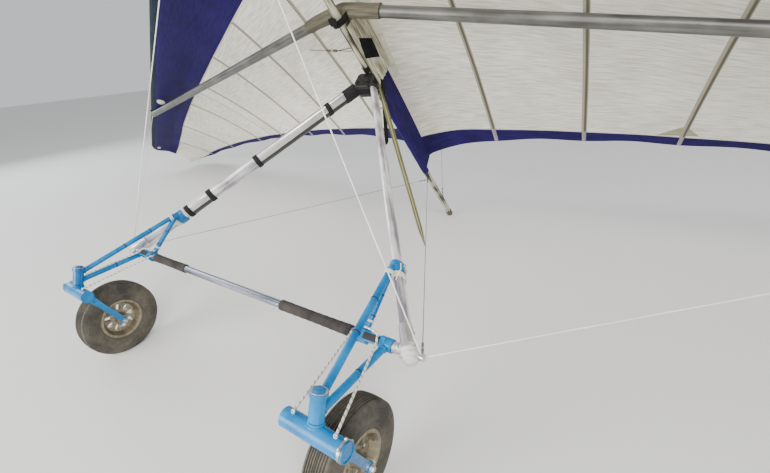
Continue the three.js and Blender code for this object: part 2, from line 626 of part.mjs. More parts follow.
const parked = new THREE.Group();
parked.add(glider);
parked.updateMatrixWorld(true);
const box = new THREE.Box3().setFromObject(parked, true);
glider.position.set(-(box.min.x + box.max.x) / 2, -(box.min.y + box.max.y) / 2, -box.min.z);

export default parked;
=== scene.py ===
import json
import math

import bmesh
import bpy
import numpy as np
from mathutils import Matrix, Vector


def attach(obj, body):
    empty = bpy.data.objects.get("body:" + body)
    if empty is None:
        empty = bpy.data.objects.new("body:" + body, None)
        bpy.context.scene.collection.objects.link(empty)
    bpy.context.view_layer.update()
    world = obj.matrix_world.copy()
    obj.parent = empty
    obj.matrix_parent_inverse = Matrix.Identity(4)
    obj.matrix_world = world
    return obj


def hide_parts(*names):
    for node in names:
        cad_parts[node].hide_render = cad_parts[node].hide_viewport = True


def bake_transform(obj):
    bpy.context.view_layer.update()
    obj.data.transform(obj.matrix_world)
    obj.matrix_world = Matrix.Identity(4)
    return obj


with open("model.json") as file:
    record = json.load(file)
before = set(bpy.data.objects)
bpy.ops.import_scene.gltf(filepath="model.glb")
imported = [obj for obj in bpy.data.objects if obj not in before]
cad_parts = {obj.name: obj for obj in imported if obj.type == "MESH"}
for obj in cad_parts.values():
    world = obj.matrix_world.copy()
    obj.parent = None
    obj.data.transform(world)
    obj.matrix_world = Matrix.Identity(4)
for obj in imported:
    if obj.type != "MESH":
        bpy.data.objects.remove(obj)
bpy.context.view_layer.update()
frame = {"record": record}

# The glider's own frame, in metres: X to its left, Y aft along the keel, Z up from the
# keel, with the top of the control frame at Y = 0. It is read off the face at the keel's
# tail end, which looks straight aft.
KEEL_FACE_Y = 1.656
tail_face = next(m for m in frame["record"]["mounts"] if m["name"] == "keel_end_face")
LEFT, AFT = np.array([1.0, 0.0, 0.0]), np.array(tail_face["axis"])
UP = np.cross(LEFT, AFT)
AXES = np.array([LEFT, AFT, UP])
ORIGIN = np.array(tail_face["pos_m"]) - KEEL_FACE_Y * AFT


def parked(points):
    """Glider-frame points as they stand in the parked glider: turned nose-up and lifted."""
    return ORIGIN + np.asarray(points, float) @ AXES


def placed(name, data):
    """A new object in the scene that holds a mesh, a lamp or a camera."""
    made = bpy.data.objects.new(name, data)
    bpy.context.collection.objects.link(made)
    return made


# Camera: a small wide camera out on the left of the control frame, a little below the
# base tube's level, that looks aft, up and across to the right wing.
CAMERA = {"at": (1.453, -1.458, -1.550), "right": 37.41, "up": 17.17, "roll": 23.72}
LENS = {"lens": 18.98, "shift_x": 0.0412, "shift_y": -0.0083, "clip_start": 0.05}
aside, lift, roll = (math.radians(CAMERA[key]) for key in ("right", "up", "roll"))
ahead = Vector((-math.sin(aside) * math.cos(lift), math.cos(aside) * math.cos(lift), math.sin(lift)))
level = ahead.cross(Vector((0, 0, 1))).normalized()
side = math.cos(roll) * level + math.sin(roll) * level.cross(ahead)
columns = np.array([side, side.cross(ahead), -ahead]) @ AXES
camera = placed("camera", bpy.data.cameras.new("camera"))
for key, value in LENS.items():
    setattr(camera.data, key, value)
camera.matrix_world = Matrix.Translation(parked(CAMERA["at"])) @ Matrix(columns.T.tolist()).to_4x4()
bpy.context.scene.camera = camera


# Studio: a wide pale floor under an even pale sky, a broad key light ahead and to the
# left, a low one in front that reaches the underside of the wing, and a weak one on the right.
def area_light(name, at, target, size, power, colour):
    """A square lamp that stands at one point and faces another."""
    data = bpy.data.lights.new(name, "AREA")
    data.size, data.energy, data.color = size, power, colour
    lamp = placed(name, data)
    lamp.location = at
    lamp.rotation_euler = (Vector(target) - Vector(at)).to_track_quat("-Z", "Y").to_euler()


def finish(name, roughness, metallic=0.0, **constants):
    """A material and its Principled shader; constants are set on that shader's own sockets."""
    material = bpy.data.materials.new(name)
    material.use_nodes = True
    shader = material.node_tree.nodes["Principled BSDF"]
    for key, value in {"Roughness": roughness, "Metallic": metallic, **constants}.items():
        shader.inputs[key.replace("_", " ")].default_value = value
    return material, shader


area_light("key_light", (6.5, -7.5, 7.0), (0, -0.5, 1.0), 5.0, 1300, (1.0, 0.97, 0.93))
area_light("low_light", (-2.5, -9.0, 2.2), (0, 0, 1.4), 6.0, 1450, (1.0, 0.985, 0.955))
area_light("side_light", (-9.0, -1.0, 4.5), (0, -1.0, 0.8), 5.0, 420, (0.93, 0.96, 1.0))

world = bpy.data.worlds.new("studio")
world.use_nodes = True
sky = world.node_tree.nodes["Background"].inputs
sky["Color"].default_value, sky["Strength"].default_value = (0.86, 0.88, 0.90, 1), 0.80
bpy.context.scene.world = world

FLOOR_HALF = 90.0
floor_mesh = bpy.data.meshes.new("floor")
corners = [(x * FLOOR_HALF, y * FLOOR_HALF, 0) for x, y in ((-1, -1), (1, -1), (1, 1), (-1, 1))]
floor_mesh.from_pydata(corners, [], [(0, 1, 2, 3)])
floor_mesh.materials.append(finish("pale_floor", 0.85, Base_Color=(0.70, 0.70, 0.69, 1))[0])
placed("floor", floor_mesh)


# Sail: two ivory panels a side of woven polyester, sewn at a lapped seam. They are set by
# the straight swept leading edge and the trailing edge, arched between them, and each
# bay of cloth blows up a little between its battens.
WING = {"nose": -1.5, "half_span": 5.0, "slope": math.tan(math.radians(30)), "rise": 0.06,
        "camber": 0.045, "crest": 0.35}
TRAILING = {"root": (0.95, 0.165), "tip": (2.2, 0.67), "y_power": 1.6, "z_power": 0.56,
            "round_from": 4.5, "cut": 0.20, "droop": 0.20}
ROOT_DIP = {"deep": 0.040, "half": 0.180, "from": -0.700}
POCKET_WIDTH = {"tip": 0.325, "gain": 0.042, "from": 3.7, "power": 1.5}
BAND = {"width": 0.080, "root_extra": 0.125, "fade": 0.55, "narrows_over": 0.6, "least": 0.12,
        "scallop": 0.016}
ROOT_X, SEAM_X = 0.0002, 2.3
CLOTH = 0.0030
BATTEN_X = np.array([0.47, 1.02, 1.53, 2.08, 2.65, 3.55, 4.45])
BATTEN_SPLAY = 0.2
BILLOW = 0.014
MERGED_UNDER, SHARP_FROM = 2e-6, math.radians(38)


def mix(a, b, share):
    """A straight mix: the first at share 0, the second at share 1."""
    return a + (b - a) * share


def ease(share):
    """A share that starts and ends gently."""
    return share ** 2 * (3 - 2 * share)


def steps(count, low=0.0, high=1.0):
    """A column of even steps."""
    return np.linspace(low, high, count)[:, None]


def round_about(sides):
    """The angles of one full turn, each once."""
    return np.linspace(0, math.tau, sides, endpoint=False)


def leading(x):
    """The leading edge: straight, swept back by half the nose angle, with a slight rise."""
    return WING["nose"] + WING["slope"] * x, WING["rise"] * x


def trailing(x):
    """The trailing edge: a power curve aft and up to the tip, pulled in and down by a parabola there."""
    share = x / WING["half_span"]
    past = np.maximum(0, x - TRAILING["round_from"]) / (WING["half_span"] - TRAILING["round_from"])
    y = mix(TRAILING["root"][0], TRAILING["tip"][0], share ** TRAILING["y_power"])
    z = mix(TRAILING["root"][1], TRAILING["tip"][1], share ** TRAILING["z_power"])
    return y - TRAILING["cut"] * past ** 2, z - TRAILING["droop"] * past ** 2


def pocket_width(x):
    """The pocket's width: even at the tip, and growing inboard by a power curve."""
    inboard = np.maximum(0, POCKET_WIDTH["from"] - x)
    return POCKET_WIDTH["tip"] + POCKET_WIDTH["gain"] * inboard ** POCKET_WIDTH["power"]


def pocket_back(x):
    """Where the pocket meets the ivory cloth: its width behind the leading edge."""
    return leading(x)[0] + pocket_width(x)


def band_front(x):
    """The hem band's front edge: deeper at the root, and narrowed to almost nothing at the tip."""
    width = BAND["width"] + BAND["root_extra"] * np.exp(-x / BAND["fade"])
    return trailing(x)[0] - width * np.clip((WING["half_span"] - x) / BAND["narrows_over"], BAND["least"], 1)


def in_bay(x):
    """Where a point on the trailing edge lies in its bay: 0 at one batten, 1 at the next."""
    stops = np.r_[0, BATTEN_X, WING["half_span"]]
    bay = np.clip(np.searchsorted(stops, x, side="right") - 1, 0, len(stops) - 2)
    return np.clip((x - stops[bay]) / (stops[bay + 1] - stops[bay]), 0, 1)


def hem(x):
    """The sewn hem, which the tight cloth pulls in to a shallow scallop in each bay."""
    return trailing(x)[0] - BAND["scallop"] * np.sin(np.pi * in_bay(x)) ** 2 * (x > BATTEN_X[0])


def fan(x):
    """How far a chordwise line that ends at x on the trailing edge stands further out in front."""
    return BATTEN_SPLAY * np.sin(np.pi * x / WING["half_span"]) ** 2


def sail_height(x, y):
    """The cloth's middle: a straight line from edge to edge, plus two half parabolas that meet at
    the crest, plus a sine bulge in each bay that dies out at both edges, less a dip at the root."""
    (front, low), (back, high) = leading(x), trailing(x)
    share = (y - front) / (back - front)
    run = np.where(share < WING["crest"], WING["crest"], 1 - WING["crest"])
    arch = 1 - ((share - WING["crest"]) / run) ** 2
    bulge = np.sin(np.pi * in_bay(x - fan(x) * (1 - share))) ** 2 * np.clip(np.sin(np.pi * share), 0, 1)
    aft = np.clip((y - ROOT_DIP["from"]) / -ROOT_DIP["from"], 0, 1)
    dip = ROOT_DIP["deep"] * ease(aft) * np.exp(-(x / ROOT_DIP["half"]) ** 2)
    return mix(low, high, share) + WING["camber"] * (back - front) * arch + BILLOW * bulge - dip


def xyz(*parts):
    """Points from two or three coordinates, each an array or one value for all."""
    return np.stack(np.broadcast_arrays(*parts), -1)


def grid(points, wrap=False):
    """A surface through a grid of points (rows, columns, 3). Each cell is a quad, the last column
    joins the first where wrap is set, and the UVs are the distances along the grid in metres."""
    rows, count = points.shape[:2]
    ring = np.concatenate([points, points[:, :1]], 1) if wrap else points
    across = np.r_[0, np.cumsum(np.linalg.norm(np.diff(ring[rows // 2], axis=0), axis=1))]
    along = np.r_[0, np.cumsum(np.linalg.norm(np.diff(points, axis=0), axis=2).mean(1))]
    i, j = (a.ravel() for a in np.meshgrid(np.arange(rows - 1), np.arange(ring.shape[1] - 1), indexing="ij"))
    i, j = i[:, None] + [0, 1, 1, 0], j[:, None] + [0, 0, 1, 1]
    return points.reshape(-1, 3), i * count + j % count, np.stack([across[j], along[i]], 2)


def slab(top, bottom):
    """A closed sheet between two grids of points, walled in round its four edges."""
    shell = grid(np.concatenate([top, bottom[:, ::-1]], 1), wrap=True)
    return [shell, *(grid(np.stack([top[k], bottom[k]])) for k in (0, -1))]


def sheet(x, y, high, low):
    """A closed sheet over a plan in x and y, between its top and its underside."""
    return slab(xyz(x, y, high), xyz(x, y, low))


def upright(y, z, x, other_x):
    """A closed sheet that stands over y and z, between its two faces in x."""
    return slab(xyz(x, y, z), xyz(other_x, y, z))


def mirror(parts):
    """The same parts on the other side: every x with its sign turned."""
    return [(points * (-1, 1, 1), quads, uvs) for points, quads, uvs in parts]


def piece(name, parts, material, slot, replaces=(), body="airframe", place=parked):
    """One object made of closed parts: merged at their seams, faced outwards, smooth but for its
    sharp edges, and set in the parked glider. It rides on its body; given a tuple of bodies it is only baked
    in place, unparented."""
    points, quads, uvs = zip(*parts)
    starts = np.cumsum([0, *map(len, points)])
    faces = np.concatenate([own + start for own, start in zip(quads, starts)])
    mesh = bpy.data.meshes.new(name)
    mesh.from_pydata(place(np.concatenate(points)).tolist(), [], faces.tolist())
    mesh.uv_layers.new(name="metres").data.foreach_set("uv", np.concatenate(uvs).ravel())
    shell = bmesh.new()
    shell.from_mesh(mesh)
    bmesh.ops.remove_doubles(shell, verts=shell.verts, dist=MERGED_UNDER)
    bmesh.ops.recalc_face_normals(shell, faces=shell.faces)
    shell.to_mesh(mesh)
    shell.free()
    mesh.polygons.foreach_set("use_smooth", np.ones(len(mesh.polygons), bool))
    mesh.set_sharp_from_angle(angle=SHARP_FROM)
    mesh.materials.append(material)
    made = placed(name, mesh)
    if isinstance(body, tuple):
        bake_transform(made)
    else:
        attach(made, body)
    if replaces:
        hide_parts(*replaces)


def both(*rows):
    """Pieces on the left, then their mirror images on the right. A row is a name, the parts, the
    material, the slot, and where there is one the stem of the solid's name that it replaces."""
    for side_name, turn in (("left", list), ("right", mirror)):
        for name, parts, material, slot, *stems in rows:
            replaces = [f"{stem}_{side_name}" for stem in stems]
            piece(f"{name}_{side_name}", turn(parts), material, slot, replaces)


def feed(socket, value):
    """Gives a socket its value, or links it to the socket that does."""
    if isinstance(value, bpy.types.NodeSocket):
        socket.id_data.links.new(value, socket)
    else:
        socket.default_value = value


def add(owner, kind, inputs=None, **settings):
    """A shader node in its owner's tree, with its settings and what its inputs are fed."""
    node = owner.id_data.nodes.new(f"ShaderNode{kind}")
    for key, value in settings.items():
        setattr(node, key, value)
    for key, value in (inputs or {}).items():
        feed(node.inputs[key], value)
    return node


def effect(name, inputs, outputs):
    """An empty node group of number outputs, with the sockets that its nodes read and feed."""
    tree = bpy.data.node_groups.new(name, "ShaderNodeTree")
    for socket, kind in inputs.items():
        tree.interface.new_socket(socket, in_out="INPUT", socket_type=f"NodeSocket{kind}")
    for socket in outputs:
        tree.interface.new_socket(socket, in_out="OUTPUT", socket_type="NodeSocketFloat")
    return tree, tree.nodes.new("NodeGroupInput").outputs, tree.nodes.new("NodeGroupOutput").inputs


def maths(operation, a, b=0.0, clamp=False):
    """One operation on two numbers, at least one of them a socket."""
    owner = a if isinstance(a, bpy.types.NodeSocket) else b
    return add(owner, "Math", {0: a, 1: b}, operation=operation, use_clamp=clamp).outputs[0]


def times(a, b):
    return maths("MULTIPLY", a, b)


def ranged(value, low, high, to_low=0.0, to_high=1.0):
    """A number carried straight from one range to another, and held inside it."""
    return add(value, "MapRange", {0: value, 1: low, 2: high, 3: to_low, 4: to_high}).outputs[0]


def noise(vector, scale, detail, roughness=0.5):
    """Cloudy noise from 0 to 1, finer as its scale grows."""
    inputs = {"Vector": vector, "Scale": scale, "Detail": detail, "Roughness": roughness}
    return add(vector, "TexNoise", inputs).outputs["Fac"]


def stretched(vector, *scale):
    """A vector with each of its numbers multiplied."""
    return add(vector, "Mapping", {"Vector": vector, "Scale": scale}).outputs[0]


def apart(vector):
    """A vector's first two numbers."""
    return add(vector, "SeparateXYZ", {0: vector}).outputs[:2]


def linear(shade, dimmed=1.0):
    """A socket or a linear colour as it is, or three eight-bit display values made linear."""
    if isinstance(shade, bpy.types.NodeSocket) or len(shade) == 4:
        return shade
    share = np.array(shade) / 255
    return (*dimmed * np.where(share > 0.04045, ((share + 0.055) / 1.055) ** 2.4, share / 12.92), 1)


def blend(share, first, second):
    """Two colours mixed by a share."""
    return add(share, "Mix", {0: share, 6: linear(first), 7: linear(second)}, data_type="RGBA").outputs[2]


def shaded(shader, share, first, second):
    """Colours a material by two shades and the share of the second."""
    feed(shader.inputs["Base Color"], blend(share, first, second))


def bumped(shader, height, distance, strength=1.0):
    """Fine relief: a height that tilts the surface, as deep as its distance."""
    bump = add(shader, "Bump", {"Height": height, "Distance": distance, "Strength": strength})
    feed(shader.inputs["Normal"], bump.outputs["Normal"])


# Woven cloth: fine threads both ways, and the short crosswise creases of a sail that has
# been rolled up many times. The creases are in relief, and the same noise paints them darker
# in their hollows as painted shade, over a broad random tone. All that is sewn or webbed shares it.
SHADES = (0.36, 0.62)
cloth, given, wanted = effect(
    "woven_cloth", {"Vector": "Vector", "Threads": "Float", "Creases": "Float"}, ("Height", "Shade"))
warp, weft = (maths("SINE", times(way, given["Threads"])) for way in apart(given["Vector"]))
crease_painted_shade = noise(stretched(given["Vector"], 105.0, 7.0, 1.0), 1.0, 3.0, 0.55)
broad = noise(given["Vector"], 2.2, 2.0)
threads = times(maths("MAXIMUM", warp, weft), 0.12)
feed(wanted["Height"], maths("ADD", threads, times(crease_painted_shade, given["Creases"])))
# Shade: painted shade in the creases' hollows, plus a broad random tone.
feed(wanted["Shade"], maths("ADD", maths("SUBTRACT", crease_painted_shade, 0.175), times(broad, 0.35)))


def metres(shader):
    """A piece's own UVs, which are distances over its surface in metres."""
    return add(shader, "UVMap", uv_map="metres").outputs[0]


def woven(shader, threads, creases):
    """The weave on a material's own metres: where it is read, its height and its shade."""
    uv = metres(shader)
    inputs = {"Vector": uv, "Threads": threads * math.tau, "Creases": creases}
    weave = add(shader, "Group", inputs, node_tree=cloth).outputs
    return uv, weave["Height"], weave["Shade"]


def fabric(name, first, second, roughness, threads, creases, relief, **constants):
    """Cloth of two close shades with a weave; threads per metre, crease height and relief."""
    material, shader = finish(name, roughness, **constants)
    _, height, shade = woven(shader, threads, creases)
    shaded(shader, ranged(shade, *SHADES), first, second)
    bumped(shader, height, relief)
    return material


sail_cloth = fabric("ivory_sailcloth", (206, 202, 186), (243, 240, 228), 0.72, 900, 1.0, 0.004,
                    Sheen_Weight=0.15)
navy_cloth = fabric("navy_sailcloth", (19, 8, 62), (30, 14, 86), 0.75, 900, 0.6, 0.003,
                    Specular_IOR_Level=0.2)


def cloth_panel(x0, x1, front, back, count, rows, thick=CLOTH, drop=0.0, fanned=True):
    """A piece of sail between two spans and two lines across them: a grid that runs from its
    front line to its back line at every span, fanned as the battens are, at the sail's height."""
    share, x = np.linspace(0, 1, rows), steps(count, x0, x1)
    x = x + fan(x) * (1 - share) * fanned
    y = mix(front(x), back(x), share)
    z = sail_height(x, y) - drop
    return sheet(x, y, z + thick / 2, z - thick / 2)


inner = cloth_panel(ROOT_X, SEAM_X, pocket_back, band_front, 110, 56)
outer = cloth_panel(SEAM_X, WING["half_span"], pocket_back, band_front, 120, 50)
band = cloth_panel(ROOT_X, WING["half_span"], band_front, hem, 260, 6, fanned=False)
both(("inner_sail", inner, sail_cloth, "sail_cloth", "sail_inner"),
     ("outer_sail", outer, sail_cloth, "sail_cloth", "sail_outer"),
     ("hem_band", band, navy_cloth, "navy_cloth", "trailing_band"))


# Leading-edge pocket: navy sailcloth wrapped round the front tube and sewn to the ivory
# panels, with a dark grey-teal strip down its front, a pale port and a small pink window.
POCKET_ROUND = {"nose": 0.046, "half": 0.036, "fuller": 0.034, "from": 0.17, "lead": 0.004}
POCKET_X = (0.1703, 5.0)
FRONT_STRIP = {"x": (0.19, 4.97), "columns": 12, "half": 0.0006}
SEWN_ON, TUCKED_IN = 0.0012, 0.0004


def unit(vector):
    vector = np.asarray(vector, float)
    return vector / np.linalg.norm(vector, axis=-1, keepdims=True)


def pocket_low(x, share):
    """The underside's height over the leading edge: an eased line that closes on the sail."""
    front, low = leading(x)
    closed = sail_height(x, front + pocket_width(x)) - low - CLOTH / 2
    return mix(-POCKET_ROUND["half"], closed, ease(share) ** 0.8)


def pocket_rings(xs):
    """The pocket's section at each span: an ellipse half round the tube's front, and from its top
    and bottom two curves that run aft and close on the sail."""
    x, half = xs[:, None], POCKET_ROUND["half"]
    front, low = leading(x)
    angle = np.linspace(-math.pi / 2, math.pi / 2, 22)
    nose = POCKET_ROUND["nose"] + POCKET_ROUND["fuller"] * np.clip(x - POCKET_ROUND["from"], 0, 1) ** 1.5
    share = np.linspace(0, 1, 26)[1:]
    run = share * pocket_width(x)
    top_line = sail_height(x, front + run) - low + CLOTH / 2
    upper = np.maximum(top_line, mix(half + POCKET_ROUND["lead"], top_line, np.clip(share * 2, 0, 1)))
    upper = mix(half, upper, np.clip(share * 5, 0, 1))
    d = np.concatenate([-nose * np.cos(angle), run, run[:, ::-1]], 1)
    z = np.concatenate([half * np.sin(angle) + 0 * x, upper, pocket_low(x, share)[:, ::-1]], 1)
    return xyz(x, front + d, low + z)


def capped(points):
    """A closed tube of rings with each end drawn in to the middle of its last ring."""
    ends = [np.repeat(end.mean(1, keepdims=True), points.shape[1], 1) for end in (points[:1], points[-1:])]
    return grid(np.concatenate([ends[0], points, ends[1]]), wrap=True)


def pocket_disc(x, run, wide, long):
    """A round patch sewn on the pocket's underside, at a run behind the leading edge."""
    radius, angle = steps(8, 0.02), np.linspace(0, math.tau, 33)
    xs, runs = x + wide * radius * np.cos(angle), run + long * radius * np.sin(angle)
    front, low = leading(xs)
    z = low + pocket_low(xs, np.clip(runs / pocket_width(xs), 0, 1))
    return sheet(xs, front + runs, z - SEWN_ON, z + TUCKED_IN)


pocket = [capped(pocket_rings(np.linspace(*POCKET_X, 90)))]
both(("front_pocket", pocket, navy_cloth, "navy_cloth", "leading_edge_pocket"))
front_strip_x = np.linspace(*FRONT_STRIP["x"], 90)
front_strip_ring = pocket_rings(front_strip_x)[:, :FRONT_STRIP["columns"]]
front_strip_out = FRONT_STRIP["half"] * unit(front_strip_ring - xyz(front_strip_x, *leading(front_strip_x))[:, None])
grey_teal_strip = fabric("grey_teal_strip", (16, 26, 34), (30, 42, 50), 0.85, 200, 0.3, 0.001, Specular_IOR_Level=0.1)
port_cloth = fabric("pale_port_cloth", (206, 204, 200), (236, 234, 230), 0.6, 400, 0.3, 0.001)
window_cloth = fabric("pink_window_cloth", (196, 172, 176), (222, 204, 206), 0.5, 400, 0.3, 0.001)
both(("pocket_film", slab(front_strip_ring + front_strip_out, front_strip_ring - front_strip_out), grey_teal_strip, "sail_cloth"),
     ("pocket_port", pocket_disc(3.00, 0.055, 0.062, 0.040), port_cloth, "sail_cloth"),
     ("pocket_window", pocket_disc(4.86, 0.060, 0.045, 0.024), window_cloth, "sail_cloth"))


# Battens: springy rods in ivory pockets sewn under the sail, each tied off at the hem by a
# folded white tab that shows over the navy band. The pocket is painted a little darker than the
# sail, and down its middle runs a dark line of painted shade, the rod's shadow seen through the
# cloth; that middle lies three half widths round its section.
BATTEN = {"half": 0.015, "bulge": 0.0052, "rod": (0.0042, 0.0090), "edge": 0.0006}
TAB = {"half": (0.014, 0.006), "narrow_at": 4.4, "from": 0.010, "to": 0.012, "bulge": 0.0085,
       "reach": (0.98, 1.05)}


def strip(x_end, half, front, back, bulge, rows=70, reach=(0, 1)):
    """A narrow strip under the sail along a fanned batten line, from one share of the line to
    another: flat on the cloth and bulged below by a parabola across it."""
    share, across = steps(rows), np.linspace(-1, 1, 9)
    x = x_end + fan(x_end) * (1 - mix(*reach, share)) + across * half
    y = mix(front(x), back(x), share)
    under = sail_height(x, y) - CLOTH / 2
    return sheet(x, y, under + TUCKED_IN, under - BATTEN["edge"] - bulge * (1 - across ** 2))


batten_cloth, shader = finish("batten_pocket_painted_rod_shadow", 0.78)
uv, height, shade = woven(shader, 900, 0.5)
# Painted shade: the pocket turns dark within the rod's band down its middle, the rod's shadow through the
# cloth.
from_rod_shadow = maths("ABSOLUTE", maths("SUBTRACT", apart(uv)[0], 3 * BATTEN["half"]))
tone = maths("MULTIPLY", ranged(from_rod_shadow, *BATTEN["rod"]), ranged(shade, 0.2, 0.7, 0.7, 1.0), clamp=True)
shaded(shader, tone, (84, 79, 63), (160, 155, 136))
bumped(shader, height, 0.003)
tab_cloth = fabric("white_tab_cloth", (128, 125, 124), (158, 154, 152), 0.8, 700, 0.4, 0.002)
sleeves, tabs = [], []
for x_end in BATTEN_X:
    sleeves += strip(x_end, BATTEN["half"], pocket_back, band_front, BATTEN["bulge"])
    tabs += strip(x_end, mix(*TAB["half"], x_end / TAB["narrow_at"]), lambda x: band_front(x) - TAB["from"],
                  lambda x: trailing(x)[0] - TAB["to"], TAB["bulge"], 14, TAB["reach"])
both(("batten_pockets", sleeves, batten_cloth, "sail_cloth"), ("batten_tabs", tabs, tab_cloth, "sail_cloth"))


# Tapes and patches under the sail: the lapped seam's tape and two more along its front and
# its hem band, beige cloth along the keel that hangs in folds at the root, a black patch of
# hook cloth on the folds, and a small olive corner patch at a batten's end.
SEAM_TAPE = {"half": 0.011, "bulge": 0.0004, "thick": 0.0008, "under": 0.0002, "end": 4.98}
TAPE_LINES = ((0.01, band_front, 0.005, 0.005), (0.17, pocket_back, 0.004, 0.006))
REINFORCING = [(0.004, -1.07), (0.135, -1.02), (0.045, 0.170), (0.004, 0.185)]
ROOT_FOLDS = {"from": -0.345, "to": 0.068, "side": 0.0248, "top": 0.030, "low": -0.004,
              "wave": 0.0055, "folds": 3}
HOOK_PATCH = [(-0.247, 0.030), (-0.166, 0.118), (-0.040, 0.110), (-0.130, 0.002)]
CORNER_PATCH = [(-0.012, 0, 0.100), (0.012, 0, 0.100), (0.075, 0.075, 0.022), (-0.130, -0.130, 0.004)]


def between(corners, count, rows):
    """A grid of points between four corners that run round it, mixed both ways."""
    u, v = steps(count), np.linspace(0, 1, rows)
    return [mix(mix(a, b, u), mix(d, c, u), v) for a, b, c, d in zip(*corners)]


def patch(corners, count, rows):
    """A four-cornered patch laid against the sail's underside."""
    x, y = between(corners, count, rows)
    under = sail_height(x, y) - CLOTH / 2
    return sheet(x, y, under + TUCKED_IN, under - SEWN_ON)


def stitched(name, first, second, pitch, gap):
    """Heavy cloth with sewing: rows of short stitches, dark against it, a set distance apart."""
    material, shader = finish(name, 0.85)
    uv, height, shade = woven(shader, 500, 0.5)
    across, along = apart(uv)
    line = maths("LESS_THAN", maths("PINGPONG", across, gap), 0.0016)
    sewn = times(line, maths("GREATER_THAN", maths("PINGPONG", along, pitch), pitch * 0.4))
    shaded(shader, sewn, blend(ranged(shade, *SHADES), first, second), linear(first, 0.45))
    bumped(shader, maths("SUBTRACT", height, sewn), 0.0012)
    return material


beige_cloth = stitched("beige_reinforcing_cloth", (186, 182, 162), (206, 202, 184), 0.006, 0.055)
seam_cloth = stitched("seam_tape", (186, 180, 164), (214, 209, 195), 0.004, 0.006)
olive_patch = fabric("olive_patch_cloth", (132, 130, 104), (160, 158, 132), 0.85, 400, 0.4, 0.002)
hook_cloth = fabric("black_hook_cloth", (6, 7, 12), (18, 19, 27), 0.95, 400, 0.2, 0.004,
                    Specular_IOR_Level=0.2)
tapes = strip(SEAM_X, SEAM_TAPE["half"], pocket_back, band_front, SEAM_TAPE["bulge"])
for start, line, before, behind in TAPE_LINES:
    tapes += cloth_panel(start, SEAM_TAPE["end"], lambda x: line(x) - before, lambda x: line(x) + behind,
                         150, 3, SEAM_TAPE["thick"], CLOTH / 2 + SEAM_TAPE["under"], fanned=False)
both(("keel_reinforcing", patch(REINFORCING, 10, 60), beige_cloth, "sail_cloth"),
     ("seam_tapes", tapes, seam_cloth, "sail_cloth"))


def fold_top(y):
    """The folds' top edge: the sail's underside beside the keel."""
    return sail_height(ROOT_FOLDS["top"] + 0 * y, y) - CLOTH / 2


def hanging_cloth(y, z, thick, out=0.0):
    """Cloth that hangs between the sail's root and the keel's side: a line from one to the other,
    pushed out by a sine wave down it that dies out at the top and at the foot."""
    top = fold_top(y)
    down = np.clip((top - z) / (top - ROOT_FOLDS["low"]), 0, 1)
    wave = ROOT_FOLDS["wave"] * np.sin(ROOT_FOLDS["folds"] * math.tau * down + 4 * y) * np.sin(np.pi * down)
    x = mix(ROOT_FOLDS["top"], ROOT_FOLDS["side"], down) + np.abs(wave) + out
    return upright(y, z, x + thick, x)


fold_y = steps(40, ROOT_FOLDS["from"], ROOT_FOLDS["to"])
folds = hanging_cloth(fold_y, mix(fold_top(fold_y), ROOT_FOLDS["low"], np.linspace(0, 1, 40)), 0.0012)
# The folds' cloth runs from dark to light, so its crease noise paints streaks of shade and highlight down the
# folds.
folds_painted_light_cloth = fabric("beige_folds_painted_light_and_shade", (112, 107, 82), (212, 207, 184), 0.8, 500, 0.9, 0.004)
both(("root_folds", folds, folds_painted_light_cloth, "sail_cloth"))
piece("keel_hook_patch", hanging_cloth(*between(HOOK_PATCH, 24, 24), 0.002, 0.0014), hook_cloth, "webbing")
corner_x = BATTEN_X[2]
corner_patch = [(corner_x + x, band_front(corner_x + at) - before) for x, at, before in CORNER_PATCH]
piece("hem_corner_patch", patch(corner_patch, 16, 10), olive_patch, "sail_cloth")


# Nose cover: a navy cloth cap laced over the nose between the two front pockets. It is one
# sheet, drawn round the tubes in front and laid down on the sail behind.
NOSE_CAP = {"half": 0.1697, "lap": 0.040, "reach": 0.0445, "high": 0.041, "settles": 0.26, "thick": 0.0025}


def nose_cap():
    """The cap's cloth: a quarter ellipse up over the tubes in front, then a straight slope that
    falls until it meets the sail."""
    x = steps(40, -NOSE_CAP["half"], NOSE_CAP["half"])
    front, low = leading(np.abs(x))
    run = mix(-NOSE_CAP["lap"], pocket_width(np.abs(x)), np.linspace(0, 1, 40))
    inside = np.maximum(0, run)
    rolled = NOSE_CAP["high"] * np.sqrt(np.clip(1 - (np.minimum(run, 0) / NOSE_CAP["reach"]) ** 2, 0, 1))
    on_sail = sail_height(np.abs(x), front + inside) + CLOTH / 2
    settled = low + NOSE_CAP["high"] * np.clip(1 - inside / NOSE_CAP["settles"], 0, 1)
    z = np.where(run < 0, low + rolled, np.maximum(on_sail, settled))
    return sheet(x, front + run, z, z - NOSE_CAP["thick"])


piece("nose_cap", nose_cap(), navy_cloth, "navy_cloth", ["nose_cover"])


# Tubes of the airframe: anodised drawn alloy. Each tube is a ring carried from end to end,
# with a small bevel on both ends.
KEEL = {"radius": 0.021, "nose": -1.48, "tail": 1.65}
FRONT_TUBE = {"radius": 0.026, "x": (0.060, 4.980)}
CROSSBAR = {"radius": 0.030, "hinge": np.array([0.025, -0.400, 0.0585]), "end_x": 3.37, "below": 0.0578}
POST = {"foot": (0, -0.100, 0.0213), "top": np.array([0, -0.100, 1.290])}
X_AXIS, Y_AXIS, Z_AXIS = np.eye(3)


def square_to(way, up):
    """Two unit directions square to a way, the first square to `up` as well."""
    first = unit(np.cross(up, way))
    return first, np.cross(way, first)


def rings(path, section, up=(0, 0, 1)):
    """Carries a section along a path. Each ring stands square to the path, and the section's
    second axis leans to `up`; the section may differ from ring to ring."""
    first, second = square_to(unit(np.gradient(path, axis=0)), up)
    return path[:, None] + section[..., :1] * first[:, None] + section[..., 1:] * second[:, None]


